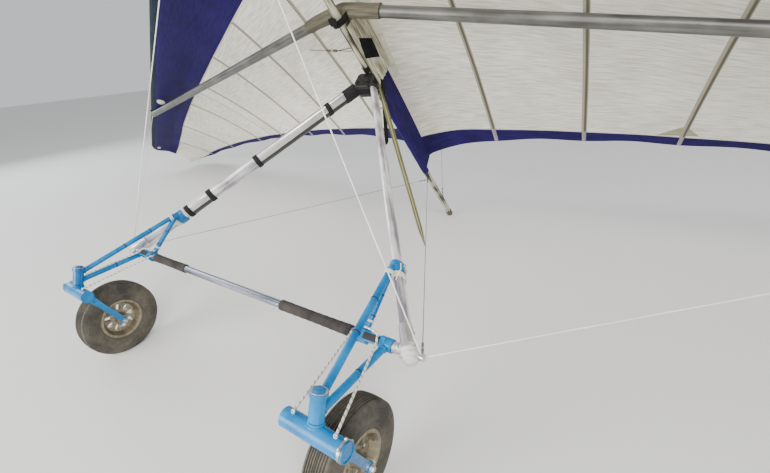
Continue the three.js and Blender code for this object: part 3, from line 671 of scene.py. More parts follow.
def oval(half_width, half_height, sides=40):
    """An ellipse, by even steps of its angle."""
    angle = round_about(sides)
    return xyz(half_width * np.cos(angle), half_height * np.sin(angle))


def rounded(width, height, radius, count=5):
    """A rectangle with a quarter circle at each corner."""
    angle = np.linspace(0, math.pi / 2, count) + np.arange(4)[:, None] * math.pi / 2
    middles = np.array([(1, 1), (-1, 1), (-1, -1), (1, -1)]) * (width / 2 - radius, height / 2 - radius)
    return (middles[:, None] + radius * xyz(np.cos(angle), np.sin(angle))).reshape(-1, 2)


def bar(a, b, section, bevel=0.0012, up=(0, 0, 1)):
    """A straight bar of any section from a to b, drawn in a little over both end bevels."""
    a, b = np.asarray(a, float), np.asarray(b, float)
    length = np.linalg.norm(b - a)
    stops = np.array([0, bevel, length / 2, length - bevel, length]) / length
    drawn_in = 1 - bevel / np.abs(section).max()
    sizes = np.array([drawn_in, 1, 1, 1, drawn_in])
    return capped(rings(mix(a, b, stops[:, None]), section * sizes[:, None, None], up))


def tube(a, b, radius, sides=40, bevel=0.0012):
    """A round bar from a to b."""
    way = unit(np.asarray(b, float) - a)
    return bar(a, b, oval(radius, radius, sides), bevel, Y_AXIS if abs(way[2]) > 0.9 else Z_AXIS)


def lathe(profile, start, axis, sides=64, loop=False, up=None):
    """Turns a profile of (radius, distance), or one for each spoke, about an axis through a point."""
    profile, axis = np.asarray(profile, float), unit(axis)
    profile = np.concatenate([profile, profile[:1]]) if loop else profile
    profile = profile if profile.ndim == 3 else profile[:, None]
    first, second = square_to(axis, up or ((0, -1, 0) if abs(axis[2]) > 0.9 else (0, 0, -1)))
    angle = round_about(sides)[:, None]
    spoke = np.cos(angle) * first + np.sin(angle) * second
    return grid(np.asarray(start) + profile[..., 1:] * axis + profile[..., :1] * spoke, wrap=True)


def bolt(at, axis, width, head):
    """A hexagon head on a washer, with its face chamfered."""
    washer = lathe([(0, 0), (width * 0.72, 0), (width * 0.72, head * 0.2), (0, head * 0.2)], at, axis, 32)
    rise = np.array([0.2, 0.2, 0.85, 1.0, 1.0]) * head
    reach = np.array([0, 1, 1, 0.86, 0]) * width / math.sqrt(3)
    return [washer, lathe(xyz(reach, rise), at, axis, 6)]


def eye(at, axis, radius=0.0085, wall=0.0026):
    """A thimble: a small ring of wire round a pin, its hole along an axis."""
    return lathe(oval(wall, wall, 12) + (radius, 0), at, axis, 28, loop=True)


def tang(at, foot, axis, width=0.020, thick=0.003):
    """A flat eye plate that stands from its foot on a tube to a wire's end, with its pin."""
    outline, face = rounded(thick, width, thick * 0.3), axis * thick / 2
    plate = bar(foot, at + (at - foot) * 0.25, outline, 0.0008, np.cross(at - foot, axis))
    return [plate, *bolt(at + face, axis, 0.010, 0.005), *bolt(at - face, -axis, 0.010, 0.005)]


# Wear that metal, paint and rubber share: a slow mottle of handling, and small sharp specks.
wear, given, wanted = effect("handling_wear", {"Vector": "Vector", "Scale": "Float"}, ("Mottle", "Specks"))
feed(wanted["Mottle"], noise(given["Vector"], given["Scale"], 4.0))
feed(wanted["Specks"], ranged(noise(given["Vector"], times(given["Scale"], 9.0), 3.0), 0.66, 0.72))


def over_piece(shader):
    """A point's place in the parked glider, which is each piece's own frame."""
    return add(shader, "TexCoord").outputs["Object"]


def handled(shader, scale):
    """The mottle and the specks of wear over a piece."""
    return add(shader, "Group", {"Vector": over_piece(shader), "Scale": scale}, node_tree=wear).outputs[:2]


def anodised(name, dark, light, roughness, metallic=0.85, streaks=320.0, span=0.14):
    """Drawn alloy: long streaks down the tube, a mottle of handling and dull specks. The span is
    how far the tone must stray from its middle to reach the dark or the light."""
    material, shader = finish(name, roughness, metallic)
    grain = noise(stretched(metres(shader), streaks, 2.2, 1.0), 1.0, 3.0)
    mottle, specks = handled(shader, 7.0)
    tone = maths("ADD", times(grain, 0.55), times(mottle, 0.45))
    shaded(shader, ranged(tone, 0.5 - span, 0.5 + span), dark, light)
    dull = maths("ADD", ranged(grain, 0.3, 0.7, roughness - 0.07, roughness + 0.08), times(specks, 0.2))
    feed(shader.inputs["Roughness"], dull)
    bumped(shader, grain, 0.0004, 0.6)
    return material


def plastic(name, dark, light, roughness):
    """Moulded plastic: a slow mottle of two close shades, with small specks in relief."""
    material, shader = finish(name, roughness)
    mottle, specks = handled(shader, 14.0)
    shaded(shader, ranged(mottle, 0.35, 0.65), dark, light)
    bumped(shader, specks, 0.0003)
    return material


keel_alloy = anodised("keel_alloy", (52, 49, 34), (186, 182, 160), 0.45, 0.35, 75.0, 0.05)
grey_alloy = anodised("crossbar_alloy", (58, 58, 55), (108, 108, 103), 0.42, 0.45, 60.0)
bright_alloy = anodised("polished_alloy", (176, 174, 172), (216, 214, 212), 0.30, 0.75)
black_steel = anodised("black_steel", (20, 20, 20), (44, 43, 42), 0.4, 0.6, 600.0)
olive_plastic = plastic("olive_plastic", (62, 60, 44), (88, 86, 68), 0.55)
black_plastic = plastic("black_plastic", (8, 8, 9), (20, 20, 21), 0.6)


def on_leading(x):
    """The point of the leading edge at a span."""
    return np.array([x, *leading(x)])


joint = on_leading(CROSSBAR["end_x"])
crossbar_end = joint - (0, 0, CROSSBAR["below"])
crossbar_way = unit(crossbar_end - CROSSBAR["hinge"])
wire_eye = {
    "nose": np.array([0, -1.400, -0.0273]), "rear": np.array([0, 1.060, -0.030]), "top": POST["top"],
    "upper_front": np.array([0, -1.380, 0.027]), "upper_rear": np.array([0, 1.400, 0.027]),
    "corner": np.array([0.946, -0.200, -1.440]),
    "side": crossbar_end - (0, 0, 0.036), "upper_side": joint + (0, 0, 0.032),
}

keel = [tube((0, KEEL["nose"], 0), (0, KEEL["tail"], 0), KEEL["radius"], 48)]
for name, foot_z in (("rear", -0.016), ("upper_front", 0.016), ("upper_rear", 0.016)):
    keel += tang(wire_eye[name], wire_eye[name] * Y_AXIS + (0, 0, foot_z), X_AXIS)
piece("keel_tube", keel, keel_alloy, "alloy", ["keel"])
plug = [(0, 0.006), (0.0225, 0.006), (0.025, 0.0035), (0.025, -0.047), (0.0235, -0.050), (0.0213, -0.050),
        (0.0213, 0.0005), (0, 0.0005)]
piece("tail_plug", [lathe(plug, (0, KEEL["tail"], 0), Y_AXIS)], olive_plastic, "plastic", ["keel_tail_cap"])

spar = [tube(*map(on_leading, FRONT_TUBE["x"]), FRONT_TUBE["radius"])]
spar += tang(wire_eye["upper_side"], wire_eye["upper_side"] - (0, 0, 0.014), Y_AXIS)
beam_end = crossbar_end + 0.4 * CROSSBAR["radius"] * crossbar_way
beam = [tube(CROSSBAR["hinge"], beam_end, CROSSBAR["radius"], 48),
        tube(beam_end, beam_end + 0.026 * crossbar_way, 0.022),
        tube(beam_end - 0.075 * crossbar_way, beam_end - 0.006 * crossbar_way, 0.0316, 48, 0.001)]
beam += tang(wire_eye["side"], wire_eye["side"] + (0, 0, 0.012), Y_AXIS)
lug = [bar(crossbar_end - (0, 0, 0.004), joint + (0.030, -0.040, -0.030),
           rounded(0.008, 0.034, 0.002), 0.001)]
both(("front_tube", spar, grey_alloy, "grey_tube", "leading_edge"),
     ("cross_tube", beam, grey_alloy, "grey_tube", "crossbar"),
     ("crossbar_lug", lug, black_plastic, "plastic"))

post = [lathe([(0, 0), (0.0160, 0), (0.0160, 1.235), (0.0140, 1.246), (0.0078, 1.262), (0.0070, 1.268),
               (0, 1.268)], POST["foot"], Z_AXIS, 40),
        lathe([(0, -0.012), (0.008, -0.011), (0.0125, -0.005), (0.0135, 0), (0.0125, 0.005), (0.008, 0.011),
               (0, 0.012)], POST["top"], Z_AXIS, 32),
        lathe([(0, 0), (0.024, 0), (0.024, 0.010), (0.0205, 0.028), (0.0165, 0.030), (0, 0.030)],
              POST["foot"], Z_AXIS, 40)]
piece("king_post", post, bright_alloy, "alloy", ["kingpost"])


# Crossbar sleeve: olive canvas wrapped over the hinge of the two crossbars, fuller below,
# with a black strap and buckle that hold it against the keel.
SLEEVE = {"reach": 0.272, "ends": (-1, 0.74), "soft": 0.006, "sunk": 0.077, "half": 0.0358, "high": 0.0365,
          "low": 0.0395, "belly": 0.007, "belly_half": 0.5}
STRAP = {"width": 0.036, "thick": 0.0024}


def canvas_sleeve():
    """An oval round the tubes along their bent line: deeper below than above, rippled by
    two slow waves, and gathered at both ends."""
    share, angle = steps(81, *SLEEVE["ends"]), round_about(48)
    hinge, reach = CROSSBAR["hinge"], SLEEVE["reach"] * crossbar_way
    bend = np.sqrt(share ** 2 + SLEEVE["soft"]) - SLEEVE["sunk"]
    path = hinge * (0, 1, 1) + (hinge + reach) * X_AXIS * share + reach * (0, 1, 1) * bend
    size = 1 + 0.025 * np.sin(5 * angle + 9 * share) + 0.018 * np.sin(3 * angle - 17 * share)
    size *= 1 - 0.07 * np.abs(share) ** 10
    belly = SLEEVE["low"] + SLEEVE["belly"] * np.exp(-(share / SLEEVE["belly_half"]) ** 2)
    high = np.where(np.sin(angle) < 0, belly, SLEEVE["high"])
    return [capped(rings(path, xyz(SLEEVE["half"] * np.cos(angle) * size, high * np.sin(angle) * size)))]


def band_round(centre, axis, half_width, half_height):
    """A strap round a bundle: a flat section carried round an oval, and closed on itself."""
    axis = unit(axis)
    first, second = square_to(axis, Z_AXIS)
    angle = np.linspace(0, math.tau, 72)[:, None, None]
    flat = rounded(STRAP["thick"], STRAP["width"], STRAP["thick"] * 0.45, 3)
    radial = first * (half_width + flat[:, :1]) * np.cos(angle)
    radial = radial + second * (half_height + flat[:, :1]) * np.sin(angle)
    return grid(centre + radial + flat[:, 1:] * axis, wrap=True)


olive_canvas = stitched("olive_canvas", (62, 58, 44), (88, 83, 67), 0.004, 0.030)
black_webbing = fabric("black_webbing", (8, 8, 9), (22, 21, 20), 0.9, 420, 0.15, 0.0025,
                       Specular_IOR_Level=0.25)
piece("crossbar_sleeve", canvas_sleeve(), olive_canvas, "sleeve_cloth", ["crossbar_cover"])
straps = [band_round((0, -0.395, 0.0235), (0.12, 1.0, 0), 0.052, 0.071),
          bar((-0.020, -0.420, -0.0495), (0.022, -0.415, -0.0495), rounded(0.044, 0.010, 0.003))]
piece("crossbar_strap", straps, black_webbing, "webbing")


# Nose plate: one flat alloy plate under the keel's front end, bolted to all three tubes, with
# the eye plate of the front wires below it.
NOSE_PLATE = {"y": -1.4225, "low": -0.0273, "thick": 0.006}
NOSE_BOLTS = ((0, -1.455), (-0.105, -1.405), (0.105, -1.405), (-0.045, -1.440), (0.045, -1.440))
nose_outline = np.array([(-0.030, -0.0725), (0.030, -0.0725), (0.150, -0.0125), (0.150, 0.0475),
                         (0.030, 0.0725), (-0.030, 0.0725), (-0.150, 0.0475), (-0.150, -0.0125)])
nose_at = np.array([0, NOSE_PLATE["y"], NOSE_PLATE["low"]])
nose = [bar(nose_at, nose_at + (0, 0, NOSE_PLATE["thick"]), nose_outline, 0.0008, Y_AXIS)]
for x, y in NOSE_BOLTS:
    nose += bolt((x, y, NOSE_PLATE["low"]), -Z_AXIS, 0.013, 0.006)
nose += tang(wire_eye["nose"] - (0, 0, 0.012), wire_eye["nose"] + (0, 0, 0.003), X_AXIS, 0.024)
piece("nose_fitting", nose, bright_alloy, "alloy", ["nose_plate"])


# Control frame: two streamlined downtubes from the apex block to the corners, and the
# round base tube between them with its dark foam grips.
APEX, CORNER = np.array([0.060, 0, -0.095]), np.array([0.900, -0.200, -1.440])
down_way = unit(CORNER - APEX)
DOWNTUBE = {"half_thick": 0.018, "half_chord": 0.037, "foot": 0.045, "slimmer_aft": 0.30}
RIGHT_SLEEVES = ((0.045, 0.455), (0.665, 0.765))
RIGHT_COLLARS, COLLAR_HALF = (0.13, 0.455, 0.665, 0.762), 0.0095
FOOT_TAPE = {"shares": (0.972, 1.026), "half": (0.031, 0.040)}
BASE = {"radius": 0.017, "bore": 0.0173, "end": 0.878, "grip": 0.022,
        "left": (0.310, 0.670), "right": (-0.670, -0.380)}
FOIL = {"x": (0.842, 0.877), "radius": 0.0192}


def teardrop(grow=0.0, half_thick=DOWNTUBE["half_thick"], half_chord=DOWNTUBE["half_chord"]):
    """A streamlined section, blunt in front (-Y) and fine behind: a circle stretched along the
    chord, its thickness falling off aft by a power of the distance behind its middle."""
    angle = round_about(56)
    fullness = 1 - DOWNTUBE["slimmer_aft"] * np.clip(np.sin(angle), 0, 1) ** 1.5
    return xyz((half_thick + grow) * np.cos(angle) * fullness, (half_chord + grow) * np.sin(angle))


def downtube_band(start, end, grow, bevel=0.003):
    """A sleeve or collar round the downtube, between two shares of its length."""
    return bar(mix(APEX, CORNER, start), mix(APEX, CORNER, end), teardrop(grow), bevel, Y_AXIS)


def on_base(x):
    """The point of the base tube's middle line at a distance to the left."""
    return CORNER * (0, 1, 1) + (x, 0, 0)


def foam_rubber(name, dark, light):
    """Closed foam: small rounded cells in relief, with paler scuffs."""
    material, shader = finish(name, 0.92)
    cells = add(shader, "TexVoronoi", {"Vector": over_piece(shader), "Scale": 520.0})
    shaded(shader, ranged(handled(shader, 18.0)[0], 0.35, 0.68), dark, light)
    bumped(shader, cells.outputs["Distance"], 0.0012, 0.7)
    return material


# The right downtube's sleeves are polished alloy in front, and behind they carry a dark painted
# shade, where the aerofoil's rear half turns from the light. Which side a point is on is read from
# its distance round the section, whose first half is the rear.
sleeve_with_painted_rear_shade, shader = finish("painted_shade_sleeve", 0.3, 0.6)
half_way = np.linalg.norm(np.diff(teardrop(0.004)[:29], axis=0), axis=1).sum()
# rear: 1 over the rear half, the share of the painted shade.
rear = ranged(apart(metres(shader))[0], half_way * 0.94, half_way * 0.97, 1.0, 0.0)
front = blend(ranged(handled(shader, 12.0)[0], 0.35, 0.65), (214, 212, 206), linear((214, 212, 206), 0.8))
shaded(shader, rear, front, (38, 37, 32))
feed(shader.inputs["Metallic"], ranged(rear, 0.0, 1.0, 0.75, 0.0))
streaked_alloy = anodised("downtube_alloy", (138, 132, 142), (236, 234, 236), 0.34, 0.45, 40.0, 0.07)
base_alloy = anodised("base_bar_alloy", (112, 120, 136), (178, 184, 196), 0.26, 0.85, 180.0)
white_tape = fabric("white_cloth_tape", (206, 203, 196), (236, 234, 228), 0.7, 300, 0.8, 0.004)
grip_foam = foam_rubber("grip_foam", (28, 25, 23), (58, 53, 49))
black_foam = foam_rubber("black_foam", (10, 10, 11), (25, 25, 26))

leg = [bar(APEX, CORNER - DOWNTUBE["foot"] * down_way, teardrop(), 0.001, Y_AXIS)]
both(("down_tube", leg, streaked_alloy, "alloy", "downtube"))
bands = [downtube_band(*ends, 0.004, 0.001) for ends in RIGHT_SLEEVES]
piece("downtube_sleeves_right", mirror(bands), sleeve_with_painted_rear_shade, "alloy")
collars = [downtube_band(at - COLLAR_HALF, at + COLLAR_HALF, 0.0075) for at in RIGHT_COLLARS]
piece("downtube_collars_right", mirror([*collars, downtube_band(0.004, 0.058, 0.008)]), black_foam, "foam")
piece("downtube_cap_left", [downtube_band(0.002, 0.020, 0.006)], black_foam, "foam")
stops = steps(26)
lumps = 1 + 0.05 * np.sin(stops * 31) + 0.03 * np.sin(stops * 73)
swell = np.sin(np.pi * np.clip(stops, 0.03, 0.97)) ** 0.35 * lumps
tape_section = oval(*FOOT_TAPE["half"], 36) * swell[:, None]
tape = [capped(rings(mix(APEX, CORNER, mix(*FOOT_TAPE["shares"], stops)), tape_section, Y_AXIS))]
piece("foot_tape_left", tape, white_tape, "webbing")

foil_x = np.linspace(*FOIL["x"], 18)
wrapped = FOIL["radius"] + 0.0011 * np.sin(foil_x * 900) * np.cos(foil_x * 311)
foil = xyz(np.r_[BASE["bore"], wrapped, BASE["bore"]], np.r_[foil_x[0], foil_x, foil_x[-1]])
piece("base_foil_wrap", [lathe(foil, on_base(0), X_AXIS, 40, loop=True)], bright_alloy, "alloy")
base = [tube(on_base(-BASE["end"]), on_base(BASE["end"]), BASE["radius"], 48)]
piece("base_bar", base, base_alloy, "alloy", ["base_tube"])
for side_name in ("left", "right"):
    (start, end), share = BASE[side_name], np.linspace(0, 1, 40)
    radius = BASE["grip"] - 0.0012 * np.sin(np.pi * share) + 0.0004 * np.sin(share * 61)
    foam = xyz(radius, mix(start + 0.002, end - 0.002, share))
    profile = [(BASE["bore"], start), (0.0205, start), *foam, (0.0205, end), (BASE["bore"], end)]
    piece(f"foam_grip_{side_name}", [lathe(profile, on_base(0), X_AXIS, 56, loop=True)], grip_foam, "foam",
          [f"base_grip_{side_name}"])


# Apex: a dark block under the keel that both downtubes are pinned into, between two black
# steel cheeks, with its pivot bolts.
apex = [bar((0, 0, -0.119), (0, 0, -0.0213), rounded(0.096, 0.090, 0.012), 0.003, Y_AXIS)]
piece("apex_block", apex, black_plastic, "plastic", ["apex_bracket"])
CHEEK_BOLTS = ((-0.034, -0.086, 0.016, 0.008), (0.034, -0.086, 0.016, 0.008), (0, -0.040, 0.014, 0.007))
cheeks = []
for away in (-Y_AXIS, Y_AXIS):
    cheek_at = 0.0462 * away - (0, 0, 0.066)
    cheeks.append(bar(cheek_at, cheek_at + 0.003 * away, rounded(0.104, 0.082, 0.016), 0.0008))
    for x, z, width, head in CHEEK_BOLTS:
        cheeks += bolt(0.0492 * away + (x, 0, z), away, width, head)
piece("apex_cheeks", cheeks, black_steel, "steel")


# Corner brackets: an alloy block on each end of the base tube with a socket for the
# downtube's foot, an eye post outside it, and the bolts that pin them.
corner = [bar(CORNER - 0.090 * down_way, CORNER - 0.004 * down_way, teardrop(0.005), 0.0015, Y_AXIS),
          bar(CORNER - 0.020 * X_AXIS, CORNER + 0.020 * X_AXIS, rounded(0.054, 0.050, 0.010), 0.002, Y_AXIS),
          lathe([(0, 0.018), (0.009, 0.018), (0.007, 0.024), (0.007, 0.040), (0.0125, 0.0405), (0.0125, 0.052),
                 (0.010, 0.054), (0, 0.054)], CORNER, X_AXIS, 32)]
square = unit(np.cross(down_way, Y_AXIS))
for away in (-Y_AXIS, Y_AXIS):
    corner += bolt(CORNER + (-0.004, 0, 0.004) + 0.027 * away, away, 0.013, 0.007)
for away in (-square, square):
    corner += bolt(CORNER - 0.062 * down_way + 0.0225 * away, away, 0.010, 0.005)
both(("corner_fitting", corner, bright_alloy, "alloy", "corner_bracket"))


# Rigging wires: white-coated cable in front and to the sides, thin bare cable behind and
# above. Each ends in a thimble held by two swaged sleeves.
RIGGING = {"coated": 0.0025, "bare": 0.0016, "sleeve": 0.0046, "trim": 0.013, "nose_low": 0.012}
RIGGING_SHADES = {
    "coated": fabric("coated_wire", (196, 192, 182), (230, 228, 220), 0.5, 300, 0.5, 0.0006),
    "bare": anodised("bare_wire", (96, 94, 88), (150, 147, 140), 0.4, 0.8, 900.0),
}
SIDE_WIRES = (("front_wire", "nose", "corner", "coated", X_AXIS, X_AXIS),
              ("side_wire", "side", "corner", "coated", Y_AXIS, X_AXIS),
              ("rear_wire", "rear", "corner", "bare", X_AXIS, X_AXIS),
              ("upper_side_wire", "upper_side", "top", "bare", Y_AXIS, Y_AXIS))


def cable(a, b, radius, axis_a, axis_b):
    """A straight cable between two eyes, with a thimble and two sleeves at each end."""
    way = unit(b - a)
    parts = [tube(a + RIGGING["trim"] * way, b - RIGGING["trim"] * way, radius, 14, 0.0003)]
    for at, inward, axis in ((a, way, axis_a), (b, -way, axis_b)):
        parts.append(eye(at, axis))
        for start, end in ((0.022, 0.042), (0.052, 0.072)):
            parts.append(tube(at + start * inward, at + end * inward, RIGGING["sleeve"], 20))
    return parts


for name, start, end, kind, *axes in SIDE_WIRES:
    a = wire_eye[start] - (0, 0, RIGGING["nose_low"] if start == "nose" else 0)
    both((f"{name}_cable", cable(a, wire_eye[end], RIGGING[kind], *axes), RIGGING_SHADES[kind], "wire", name))
for name in ("upper_front", "upper_rear"):
    parts = cable(wire_eye[name], wire_eye["top"], RIGGING["bare"], X_AXIS, X_AXIS)
    piece(f"{name}_cable", parts, RIGGING_SHADES["bare"], "wire", [f"{name}_wire"])


# Ground gear: a welded and painted tube frame a side, clamped to the downtube and the base
# tube, that carries a slanted head tube for the castering fork.
GEAR = {"head": np.array([0.805, -0.440, -1.680]), "lean": math.radians(30), "tube": 0.013,
        "upper": 0.010, "lower": -0.028, "clamp_share": 0.8, "clamp_front": (-0.008, -0.038, 0),
        "sleeve": 0.815, "saddle": 0.718, "forward": 0.022}
HEAD_AXIS = np.array([0, -math.sin(GEAR["lean"]), math.cos(GEAR["lean"])])
clamp_at = mix(APEX, CORNER, GEAR["clamp_share"])
clamp_front = clamp_at + GEAR["clamp_front"]
upper_at, lower_at = (GEAR["head"] + GEAR[key] * HEAD_AXIS for key in ("upper", "lower"))
saddle_at, sleeve_at = on_base(GEAR["saddle"]), on_base(GEAR["sleeve"])


def glossy(name, dark, light, chip, roughness=0.24):
    """Brushed-on gloss paint under a clear coat, chipped to bare metal in small specks."""
    material, shader = finish(name, roughness, Coat_Weight=0.12, Coat_Roughness=0.1, Specular_IOR_Level=0.28)
    (mottle, _), (scuffs, specks) = handled(shader, 9.0), handled(shader, 31.0)
    chips = maths("MULTIPLY", specks, ranged(mottle, 0.5, 0.62), clamp=True)
    shaded(shader, chips, blend(ranged(mottle, 0.35, 0.65), dark, light), chip)
    feed(shader.inputs["Roughness"], ranged(scuffs, 0.3, 0.7, roughness - 0.08, roughness + 0.16))
    bumped(shader, maths("SUBTRACT", mottle, chips), 0.0005)
    return material


def weld(at, axis, radius, bead=0.0028, spokes=88, ripples=22):
    """A weld bead: a thin rippled ring where a tube meets its neighbour."""
    ripple = 1 + 0.18 * np.sin(ripples * round_about(spokes))
    profile = oval(bead, bead, 8)[:, None] * ripple[:, None] + (radius, 0)
    up = (-1, 0, 0) if abs(unit(axis)[0]) < 0.9 else (0, -1, 0)
    return lathe(profile, at, axis, spokes, loop=True, up=up)


def limb(a, b, clear_a, clear_b):
    """A frame tube with weld beads set back from its two ends by the radii of what it meets."""
    way, radius = unit(b - a), GEAR["tube"]
    beads = [weld(at, way, radius) for at in (a + clear_a * way, b - clear_b * way)]
    return [tube(a, b, radius, 28, 0.0008), *beads]


def tie(a, b, share, radius=GEAR["tube"] + 0.0015, width=0.005):
    """A cable tie or turn of tape round a round member, at a share of its length."""
    middle, half = mix(a, b, share), unit(b - a) * width / 2
    return tube(middle - half, middle + half, radius, 28, 0.0008)


gear_blue = glossy("gear_blue_paint", (0, 88, 146), (0, 120, 176), (150, 148, 142))
zinc = anodised("zinc_plate", (150, 148, 142), (206, 204, 198), 0.3, 0.85, 700.0)
head_profile = [(0.0155, -0.043), (0.0228, -0.043), (0.024, -0.0415), (0.024, 0.0285), (0.028, 0.0298),
                (0.028, 0.0415), (0.0265, 0.043), (0.0155, 0.043)]
gear = [lathe(head_profile, GEAR["head"], HEAD_AXIS, 48, loop=True),
        *limb(upper_at, clamp_front, 0.026, 0.020), *limb(clamp_front, saddle_at, 0.022, 0.031),
        *limb(lower_at, sleeve_at, 0.026, 0.029),
        bar(clamp_at - 0.026 * down_way, clamp_at + 0.020 * down_way, teardrop(0, 0.0255, 0.0465),
            0.003, Y_AXIS)]
link_a, link_b = (at - (0, GEAR["forward"], 0) for at in (saddle_at, sleeve_at))
gear.append(bar(link_a, link_b, rounded(0.012, 0.034, 0.003), 0.001))
gear_bolts = []
for at, half, radius, bolt_x in ((sleeve_at, 0.025, 0.024, -0.012), (saddle_at, 0.022, 0.026, 0.012)):
    ring = [(BASE["bore"], -half), (radius - 0.0015, -half), (radius, -half + 0.0015),
            (radius, half - 0.0015), (radius - 0.0015, half), (BASE["bore"], half)]
    gear.append(lathe(ring, at, X_AXIS, 48, loop=True))
    for x in (bolt_x, -bolt_x):
        gear_bolts += bolt(at + (x, 0.024, 0), Y_AXIS, 0.010, 0.006)
for along in (-0.014, 0.010):
    gear_bolts += bolt(clamp_at + along * down_way + (0.0210, 0.004, 0.0132), (0.84, 0, 0.54), 0.011, 0.006)
ties = [bar(link_a + (0.014, -0.0075, 0), link_b - (0.018, 0.0075, 0), rounded(0.003, 0.024, 0.001), 0.0006)]
ties += [tie(upper_at, clamp_front, share) for share in (0.44, 0.70)]
ties += [tie(clamp_front, saddle_at, share) for share in (0.42, 0.72)]
ties += [tie(lower_at, sleeve_at, 0.55),
         tie(saddle_at - (0.022, 0, 0), saddle_at - (0.010, 0, 0), 0.5, 0.0272, 0.009)]
both(("gear_tubes", gear, gear_blue, "gear_paint", "gear_frame"),
     ("gear_bolts", gear_bolts, zinc, "steel"), ("gear_ties", ties, black_plastic, "plastic"))


# Castering forks: a wide crown tube on a stem in the head, and two flat arms that reach
# back and down to the wheel. They are drawn about the head and then set in the glider.
FORK = {"drop": 0.082, "trail": 0.200, "fall": 0.175, "arm_top": 0.098, "arm_foot": 0.070,
        "arm_wide": (0.038, 0.027), "eye": (0.078, -0.010, 0.0345)}
CROWN = np.array([0, 0, -FORK["drop"]])
AXLE = np.array([0, FORK["trail"], -FORK["drop"] - FORK["fall"]])
LEANING = np.array([X_AXIS, np.cross(HEAD_AXIS, X_AXIS), HEAD_AXIS])


def headed(points):
    """Points drawn about the head, in the glider's frame."""
    return np.asarray(points) @ LEANING + GEAR["head"]


def both_ways(half):
    """A profile drawn for one side of the middle, followed by its mirror image."""
    return [*half, *((radius, -x) for radius, x in reversed(half) if x)]


crown_half = [(0, 0.1125), (0.0262, 0.1125), (0.0262, 0.115), (0.0295, 0.115), (0.030, 0.1145)]
fork = [lathe(both_ways(crown_half), CROWN, X_AXIS, 56),
        lathe([(0, -0.060), (0.025, -0.060), (0.025, -0.0455), (0.0235, -0.044), (0.0152, -0.044),
               (0.0152, 0.044), (0, 0.044)], (0, 0, 0), Z_AXIS, 40),
        weld((0, 0, -0.0545), Z_AXIS, 0.0252)]
boss = [(0, -0.0072), (0.0165, -0.0072), (0.018, -0.0058), (0.018, 0.0058), (0.0165, 0.0072), (0, 0.0072)]
stops = steps(24)
arm_section = rounded(0.010, 1.0, 0.003) * xyz(1, mix(*FORK["arm_wide"], np.clip(stops * 3, 0, 1)))
hose_band = [(0.0302, 0.100), (0.0316, 0.100), (0.0316, 0.108), (0.0302, 0.108)]
hardware = [lathe(hose_band, CROWN, X_AXIS, 56, loop=True)]
for angle in (0.4, 1.5, 2.6):
    out = np.array([0, math.cos(angle), math.sin(angle)])
    hardware += bolt(CROWN + (0.104, 0, 0) + 0.0312 * out, out, 0.008, 0.006)
eyes = []
for away in (-1, 1):
    turned = np.array([away, 1, 1])
    top, foot = CROWN + (away * FORK["arm_top"], 0, 0), AXLE + (away * FORK["arm_foot"], 0, 0)
    fork.append(capped(rings(mix(top + 0.012 * unit(foot - top), foot, stops), arm_section, (0, 1, 1))))
    fork.append(lathe(boss, foot, X_AXIS, 40))
    gusset = (CROWN + turned * corner for corner in ((0.070, 0.020, -0.012), (0.098, 0.040, -0.038)))
    fork.append(bar(*gusset, rounded(0.006, 0.024, 0.002), 0.0006, Y_AXIS))
    hardware += bolt(AXLE + (away * 0.0775, 0, 0), away * X_AXIS, 0.019, 0.0115)
    eyes.append(eye(CROWN + turned * FORK["eye"], Y_AXIS, 0.006, 0.0022))
nut_rise, nut_reach = np.array([0.044, 0.044, 0.049, 0.0505, 0.0505]), np.array([0, 1, 1, 0.88, 0]) * 0.021
fork.append(lathe(xyz(nut_reach, nut_rise), (0, 0, 0), Z_AXIS, 6))
hardware.append(lathe([(0, 0.0435), (0.0262, 0.0435), (0.0262, 0.0455), (0, 0.0455)], (0, 0, 0), Z_AXIS, 40))


# Wheels: cast alloy rims with nine flat spokes round a hub, and small ribbed rubber tyres.
# Each turns on a plain steel axle between its fork's arms.
WHEEL = {"radius": 0.200, "slots": 9, "web": 0.011, "slot_at": 0.058, "slot_half": (0.011, 0.019),
         "bolts_at": 0.0475}
TYRE = {"rings": (0.121, 0.134, 0.163, 0.172), "ring": 0.0011, "grooves": (0.0305, 0.0215, 0.0125, 0.0035),
        "groove_half": 0.0030, "deep": 0.0058, "wall": (0.1115, 0.180), "half": 0.0510, "tucked": 0.0065,
        "widest": 0.150, "tucked_over": 0.036, "shoulder": (0.182, 0.0365), "shoulder_round": (0.0152, 0.0085),
        "tread_half": 0.0355, "crowned": 0.0035, "crowned_over": 0.0385}


def spoke(index):
    """One spoke between two slots: the web's width at each radius, less half a slot a side."""
    radius, over = steps(22, 0.036, 0.082), np.linspace(-1, 1, 9)
    inside = np.clip(1 - ((radius - WHEEL["slot_at"]) / WHEEL["slot_half"][1]) ** 2, 0, 1)
    slot_angle = np.arcsin(np.clip(WHEEL["slot_half"][0] * np.sqrt(inside) / radius, 0, 0.99))
    angle = over * (math.pi / WHEEL["slots"] - slot_angle) + (index + 0.5) * math.tau / WHEEL["slots"]
    x = WHEEL["web"] + 0.002 * (1 - over ** 2)
    return upright(radius * np.sin(angle), radius * np.cos(angle), x, -x)


